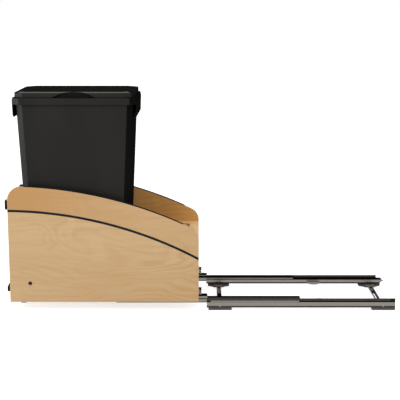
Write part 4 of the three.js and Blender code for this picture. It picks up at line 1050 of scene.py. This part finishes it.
def rivet(hand, end):
    # A domed head outside the rail, a shank, and a flatter head inside the cheek.
    node, (shank, head, rise) = end + "_rivet", braceSizes["rivet"]
    outer, inner = runner["outer"] - clearance, wallIn + braceSizes["cheekSheet"] + clearance * 2
    profile = [(outer - rise, 0), (outer - rise, head * 0.45), (outer - rise * 0.85, head * 0.75),
               (outer - rise * 0.4, head * 0.96), (outer, head), (outer, shank), (inner, shank), (inner, head),
               (inner + rise * 0.6, head * 0.9), (inner + rise, head * 0.5), (inner + rise, 0)]
    place = centreOf(f"{node}_{hand}") * [1, 0, 1]
    pairPiece(end + "Rivet", node, hand, [turned(profile, "y", place, 28)], "cabinet_frame", "runner",
              "fastener_steel", smooth=50, even=False)


def rearStop(hand):
    # A rubber stop with a thicker end at its front and rear.
    (x0, _, z0), (x1, _, z1) = boxOf("rear_stop_" + hand)
    y0, y1 = runnerLine - braceSizes["stopWidth"] / 2, runnerLine + braceSizes["stopWidth"] / 2
    end = braceSizes["stopEnd"]
    stops = [block(x0, x0 + end, y0, y1, z0, z1, 0.8),
             block(x0 + end - 0.6, x1 - end + 0.6, y0 + 0.9, y1 - 0.9, z0, z1 - 0.9, 0.4),
             block(x1 - end, x1, y0, y1, z0, z1, 0.8)]
    pairPiece("rearStop", "rear_stop", hand, stops, "cabinet_frame", "rubber", "rubber")


def makeBraces():
    crossBrace("front")
    crossBrace("rear")
    for hand in hands:
        for end in ("front", "rear"):
            footPad(hand, end)
            rivet(hand, end)
        rearStop(hand)


makeBraces()
print("braces made")


fittings = {
    "hookWidth": 16.0, "hookSheet": 2.0, "hookCorner": 4.5, "hookFold": 5.0, "flange": (8.0, 1.5, 10.5),
    "pegRadius": 3.2, "collar": 4.8, "spur": (1.2, 2.5, 1.8), "play": 0.3,
    "clipWidth": 24.0, "plate": 4.0, "housing": 6.0, "housingSetIn": 2.0, "tongue": (9.0, 6.5, 3.2), "ribs": 5,
    "pivot": (7.0, 3.0), "ring": 3.2, "lever": (23.0, 3.6, 6.0), "tab": (17.0, 2.4, 0.7), "keeper": (1.0, 1.2),
}


def rearHook(hand):
    # An upright plate with a bore for the peg, a foot folded out of it and a flange at each side.
    size = fittings
    (x0, _, z0), (x1, _, z1) = boxOf("rear_hook_" + hand)
    sheet, corner, (reach, thick, rise) = size["hookSheet"], size["hookCorner"], size["flange"]
    near, far = runnerLine - size["hookWidth"] / 2, runnerLine + size["hookWidth"] / 2
    fold, line, under = z0 + size["hookFold"], x0 + sheet / 2, z0 + sheet / 2
    foot = folded([(line, fold), (line, under), (x1, under)], sheet, 2.0, 6)
    upright = cornered(rectangle(near, far, fold, z1), [0, 0, corner, corner], 8)
    flange = cornered(rectangle(x0 + 0.4, x0 + reach, z0 + 3.0, z0 + rise), [0, 0, 2.5, 0], 5)
    flanges = [carry(flange, "y", [start, start + thick]) for start in (near + skip, far - thick - skip)]
    pegBore = bore(x0 - 2, x0 + 5, size["pegRadius"] + size["play"], "x", (0, runnerLine, pegZ), 28)
    # Faces that look up and the foot take the black painted shade.
    pairPiece("rearHook", "rear_hook", hand, [carry(upright, "x", [x0, x0 + sheet])], "box", steelLayers[:2],
              "runner_steel", 0.25, [pegBore], [carry(foot, "y", [near, far])] + flanges,
              where=lambda middle, normal: (normal[2] > 0.3) | (middle[2] < z0 + 2.6))


def hookPeg(hand):
    # A pin with a collar against the hook, and two spurs that spread behind the board.
    (x0, _, _), (x1, _, _) = boxOf("hook_peg_" + hand)
    radius, collar, (reach, flare, thick) = fittings["pegRadius"], fittings["collar"], fittings["spur"]
    collarFrom, collarEnd = boxOf("rear_hook_" + hand)[0][0] + fittings["hookSheet"] + clearance, x1 - reach
    profile = [(x0, 0), (x0, radius - 0.7), (x0 + 0.9, radius), (collarFrom, radius),
               (collarFrom, collar - 0.3), (collarFrom + 0.3, collar), (collarEnd - 0.5, collar),
               (collarEnd, collar - 0.5), (collarEnd, 0)]
    parts = [turned(profile, "x", (0, runnerLine, pegZ), 28)]
    for way in (-1, 1):
        line = [(collarEnd - 1, way * (radius - thick)), (x1, way * (radius + flare - thick)),
                (x1, way * (radius + flare)), (collarEnd - 1, way * radius)]
        spur = carry(cornered(line, [0, 0.4, 0.7, 0], 4), "y", [-radius / 2, radius / 2])
        parts.append(shifted(spur, 0, runnerLine, pegZ))
    pairPiece("hookPeg", "hook_peg", hand, parts, "box", "blackPlastic", "black_plastic", 0.15)


def pivotX(hand):
    return boxOf("clip_body_" + hand)[0][0] + fittings["pivot"][0]


def clipBody(hand):
    # A plate with a ribbed housing under it, a tongue at its rear, and a pin for the lever with a
    # keeper round its foot.
    size, radius, setIn = fittings, fittings["pivot"][1], fittings["housingSetIn"]
    (x0, _, z0), (x1, _, z1) = boxOf("clip_body_" + hand)
    near, far = runnerLine - size["clipWidth"] / 2, runnerLine + size["clipWidth"] / 2
    tongueLength, tongueWidth, tongueThick = size["tongue"]
    rear, plateUnder = x1 - tongueLength, z1 - size["plate"]
    housingUnder = plateUnder - size["housing"]
    tongueFrom = (wallIn + runnerLine - runner["keelWidth"] / 2 - tongueWidth) / 2
    tongueTop = z1 - runner["sheet"] - 0.3
    thick, lip = size["keeper"]
    pin = [(z0, 0), (z0, radius + lip - 0.3), (z0 + 0.3, radius + lip), (z0 + thick, radius + lip),
           (z0 + thick, radius), (housingUnder + 1, radius)]
    parts = [
        block(x0, rear, near, far, plateUnder, z1, 0.7),
        block(x0 + 0.4, rear - setIn, near + setIn, far - setIn, housingUnder, plateUnder + 1, 1.0),
        block(rear - 1, x1, tongueFrom, tongueFrom + tongueWidth, tongueTop - tongueThick, tongueTop, 0.6),
        turned(pin, "z", (pivotX(hand), runnerLine, 0), 28),
    ]
    parts += [block(x - 0.7, x + 0.7, near + 0.5, near + setIn + 1, housingUnder + 0.6, plateUnder + 0.5, 0.25)
              for x in np.linspace(x0 + 4, rear - setIn - 4, size["ribs"])]
    pairPiece("clipBody", "clip_body", hand, parts, "box", "greyPlastic", "grey_plastic")


def clipLever(hand):
    # A ring that turns on the pin, an arm, and a finger tab with ridges on its outer face.
    size, place = fittings, pivotX(hand)
    (_, _, z0), (_, _, z1) = boxOf("clip_lever_" + hand)
    length, thick, width = size["lever"]
    tabLength, tabThick, tabSetIn = size["tab"]
    under, tip, outerFace = z1 - thick, place + length, runnerLine - width / 2
    inner = size["pivot"][1] + size["play"]
    outer = inner + size["ring"]
    ring = [(under, inner), (under, outer - 0.5), (under + 0.5, outer), (z1 - 0.5, outer), (z1, outer - 0.5),
            (z1, inner), (under, inner)]
    points, faces = turned(ring, "z", (place, runnerLine, 0), 36)
    tabFrom = outerFace + tabSetIn
    parts = [
        (points, faces[:-2]),        # the ring is closed on itself, so it has no end faces
        block(place + inner + 1.0, tip - 0.5, outerFace, outerFace + width, under + skip, z1 - skip, 0.6),
        block(tip - tabLength, tip, tabFrom, tabFrom + tabThick, z0, z1 - 1, 0.8),
    ]
    parts += [block(x - 0.6, x + 0.6, outerFace + 0.1, outerFace + tabThick, z0 + 1.5, under - 0.5, 0.3)
              for x in np.linspace(tip - tabLength + 3, tip - 3, size["ribs"])]
    pairPiece("clipLever", "clip_lever", hand, parts, "clip_lever_" + hand, "greyPlastic", "grey_plastic")


def makeFittings():
    for hand in hands:
        rearHook(hand)
        hookPeg(hand)
    for hand in hands:
        clipBody(hand)
        clipLever(hand)


makeFittings()
print("hooks, clips and levers made")


doorBracket = {
    "sheet": 2.5, "frontSheet": 2.0, "frontReach": 24.0, "slot": (9.0, 5.0), "lead": 3.0, "play": 0.3,
    "bolt": {"shank": 3.0, "head": 5.2, "headHeight": 4.0, "nut": 5.5, "nutHeight": 3.0, "key": 2.0},
    "screw": {"shank": 1.8, "head": 4.0, "rise": 2.2, "depth": 7.0, "cross": (2.0, 0.5)},
}


def doorAngle(name, node, hand, leaf, holePlace, holeRadius, frontHeight=None):
    # A leaf on the side panel, and an angle folded from it round the panel's front, with a slot. The
    # leaf's two front corners are moved back to where the fold starts, down the slope of its upper
    # edge where the front is lower than the leaf.
    size, leafOut = doorBracket, -clearance - doorBracket["sheet"]
    (_, _, low), (_, _, high) = boxOf(f"{node}_{hand}")
    front = -sidePanel["leafLead"]
    start, frontTop = front + size["lead"], low + frontHeight if frontHeight else high
    top = np.interp(start, [front, front + sidePanel["lowerLeaf"][3]], [frontTop, high])
    atFront = leaf[:, 0] < front + 0.01
    leaf[atFront] = [(start, top if height > low + 1 else low) for height in leaf[atFront, 1]]
    plate = carry(leaf, "y", [leafOut, -clearance])
    hole = bore(leafOut - 1, 1 - clearance, holeRadius + size["play"], "y", holePlace, 24)
    leafMiddle, faceMiddle = (leafOut - clearance) / 2, front + size["frontSheet"] / 2
    angle = folded([(start, leafMiddle), (faceMiddle, leafMiddle), (faceMiddle, size["frontReach"])],
                   size["frontSheet"], 1.4, 6)
    slot = slotLine(((size["frontReach"] + leafOut) / 2, (low + frontTop) / 2), *size["slot"], upright=True)
    face = cutSurface("face", carry(angle, "z", [low, frontTop]), carry(slot, "x", [front - 2, front + 4]))
    plate, hole, face = [shifted(part, boxFront) for part in (plate, hole, face)]
    pairPiece(name, node, hand, [plate], "box", "blackMetal", "black_metal", 0.3, [hole], [face])


def domed(low, high, radius, full):
    # Places along the axis and radii that rise from a rim to a pole as a quarter ellipse, which
    # takes up the given share of the height.
    turn = np.linspace(0, quarter, 7)
    return np.stack([high - (high - low) * full * (1 - np.sin(turn)), radius * np.cos(turn)], 1)


def lowerBolt(hand):
    # A button head with a hexagon key hole, a shank through the panel, and a nut inside.
    size, place = doorBracket["bolt"], boltPlace + [boxFront, 0, 0]
    head, shank, nut, nutTop = size["head"], size["shank"], size["nut"], size["nutHeight"]
    headIn = sidePanel["counterbore"][1] - board - clearance
    headOut, end = headIn - size["headHeight"], nutTop + clearance
    button = domed(headIn, headOut, head, 0.75)[::-1]
    line = np.concatenate([button, [(headIn, head), (headIn, shank), (end, shank), (end, 0)]])
    nutLine = [(clearance, nut - 0.5), (clearance + 0.4, nut), (nutTop - 0.7, nut), (nutTop - 0.3, nut - 0.5)]
    pairPiece("lowerBolt", "lower_bracket_bolt", hand, [turned(line, "y", place, 36)], "box", "fastener",
              "fastener_steel", 0, [bore(headOut - 1, headOut + 2, size["key"], "y", place, 6)],
              [turned(nutLine, "y", place, 6)], smooth=50, even=False)


def upperScrew(hand):
    # A domed head with a cross recess, and a shank with a tapered end.
    size, place = doorBracket["screw"], screwPlace + [boxFront, 0, 0]
    head, shank, rise, depth = size["head"], size["shank"], size["rise"], size["depth"]
    line = [(-depth, 0), (1.5 - depth, shank), (clearance, shank), (clearance, head)]
    line = np.concatenate([line, domed(0, rise, head, 0.8)])
    x, _, z = place
    long, short = size["cross"]
    cross = [block(x - a, x + a, rise - 1.2, rise + 1, z - b, z + b, 0.1)
             for a, b in ((long, short), (short, long))]
    pairPiece("upperScrew", "upper_bracket_screw", hand, [turned(line, "y", place, 32)], "box", "fastener",
              "fastener_steel", 0, cross, smooth=50, even=False)


def makeBrackets():
    screw, bolt = doorBracket["screw"]["shank"], doorBracket["bolt"]["shank"]
    frontHeight = sidePanel["lowerLeaf"][2]
    for hand in hands:
        doorAngle("upperBracket", "upper_bracket", hand, upperLeaf(0), screwPlace, screw)
        doorAngle("lowerBracket", "lower_bracket", hand, lowerLeaf(0), boltPlace, bolt, frontHeight)
        lowerBolt(hand)
        upperScrew(hand)


makeBrackets()
print("door brackets made")


stage = {
    "cameraPlace": (-0.06005, -3.1168, 0.9076), "pitch": 10.861, "lens": 93.31,
    "floorHalf": 20000.0, "floorThick": 60.0, "floorTone": 0.82, "floorGlow": 0.72,
    "surround": (0.66, 0.67, 0.69, 1), "white": (1, 1, 1, 1),
    "lamps": {       # place, aim, size and power
        "keyLamp": ((-2.2, -2.6, 2.4), (-0.3, 0, 0.2), 1.6, 49.0),
        "fillLamp": ((1.8, -2.8, 1.8), (0.0, 0, 0.1), 2.0, 18.0),
        "frontLamp": ((-3.1, -0.2, 0.35), (-0.5, 0, 0.3), 1.3, 11.5),
    },
}


def makeFloor():
    # The floor glows a little for the camera, and is plain white in what a glossy face shows.
    half, white = stage["floorHalf"], stage["white"]
    points, faces = carry(rectangle(-half, half, -half, half), "z", [-stage["floorThick"], 0])
    mesh = bpy.data.meshes.new("floor")
    mesh.from_pydata((points * mm).tolist(), [], faces)
    floor = bpy.data.objects.new("floor", mesh)
    bpy.context.scene.collection.objects.link(floor)
    material, tree = newFinish("paleFloor", roughness=0.9, specular=0.1)
    shader = tree.nodes["Principled BSDF"]
    shader.inputs["Base Color"].default_value = (*[stage["floorTone"]] * 3, 1)
    rays = tree.add("LightPath")
    strength = tree.times(rays["Is Camera Ray"], stage["floorGlow"])
    glow = tree.add("Emission", {"Color": white, "Strength": strength})
    lit = tree.add("AddShader", {0: shader.outputs[0], 1: glow[0]})
    plain = tree.add("Emission", {"Color": white, "Strength": 1.0})
    direct = tree.maths("MAXIMUM", rays["Is Glossy Ray"], rays["Is Transmission Ray"])
    tree.feed("Material Output", "Surface", tree.add("MixShader", {0: direct, 1: lit[0], 2: plain[0]})[0])
    mesh.materials.append(material)


def makeWorld():
    world = bpy.data.worlds.new("studio")
    bpy.context.scene.world = world
    tree = nodeTree(world)
    rays = tree.add("LightPath")
    direct = tree.maths("MAXIMUM", rays["Is Glossy Ray"], rays["Is Transmission Ray"])
    direct = tree.maths("MAXIMUM", rays["Is Camera Ray"], direct)
    tree.feed("Background", "Color", tree.mix(direct, stage["surround"], stage["white"]))


def makeLamps():
    for name, (place, aim, size, power) in stage["lamps"].items():
        lamp = bpy.data.lights.new(name, "AREA")
        lamp.shape = "DISK"
        lamp.size = size
        lamp.energy = power
        holder = bpy.data.objects.new(name, lamp)
        holder.location = place
        x, y, z = np.array(aim) - np.array(place)
        holder.rotation_euler = (math.atan2(math.hypot(x, y), -z), 0, math.atan2(y, x) - quarter)
        bpy.context.scene.collection.objects.link(holder)


def makeCamera():
    camera = bpy.data.objects.new("camera", bpy.data.cameras.new("camera"))
    camera.data.lens = stage["lens"]
    camera.data.sensor_width = 36
    camera.data.clip_end = 100
    camera.location = stage["cameraPlace"]
    camera.rotation_euler = (math.radians(90 - stage["pitch"]), 0, 0)
    bpy.context.scene.collection.objects.link(camera)
    bpy.context.scene.camera = camera


makeFloor()
makeWorld()
makeLamps()
makeCamera()
bpy.context.scene.view_settings.view_transform = "Standard"
print("scene ready")
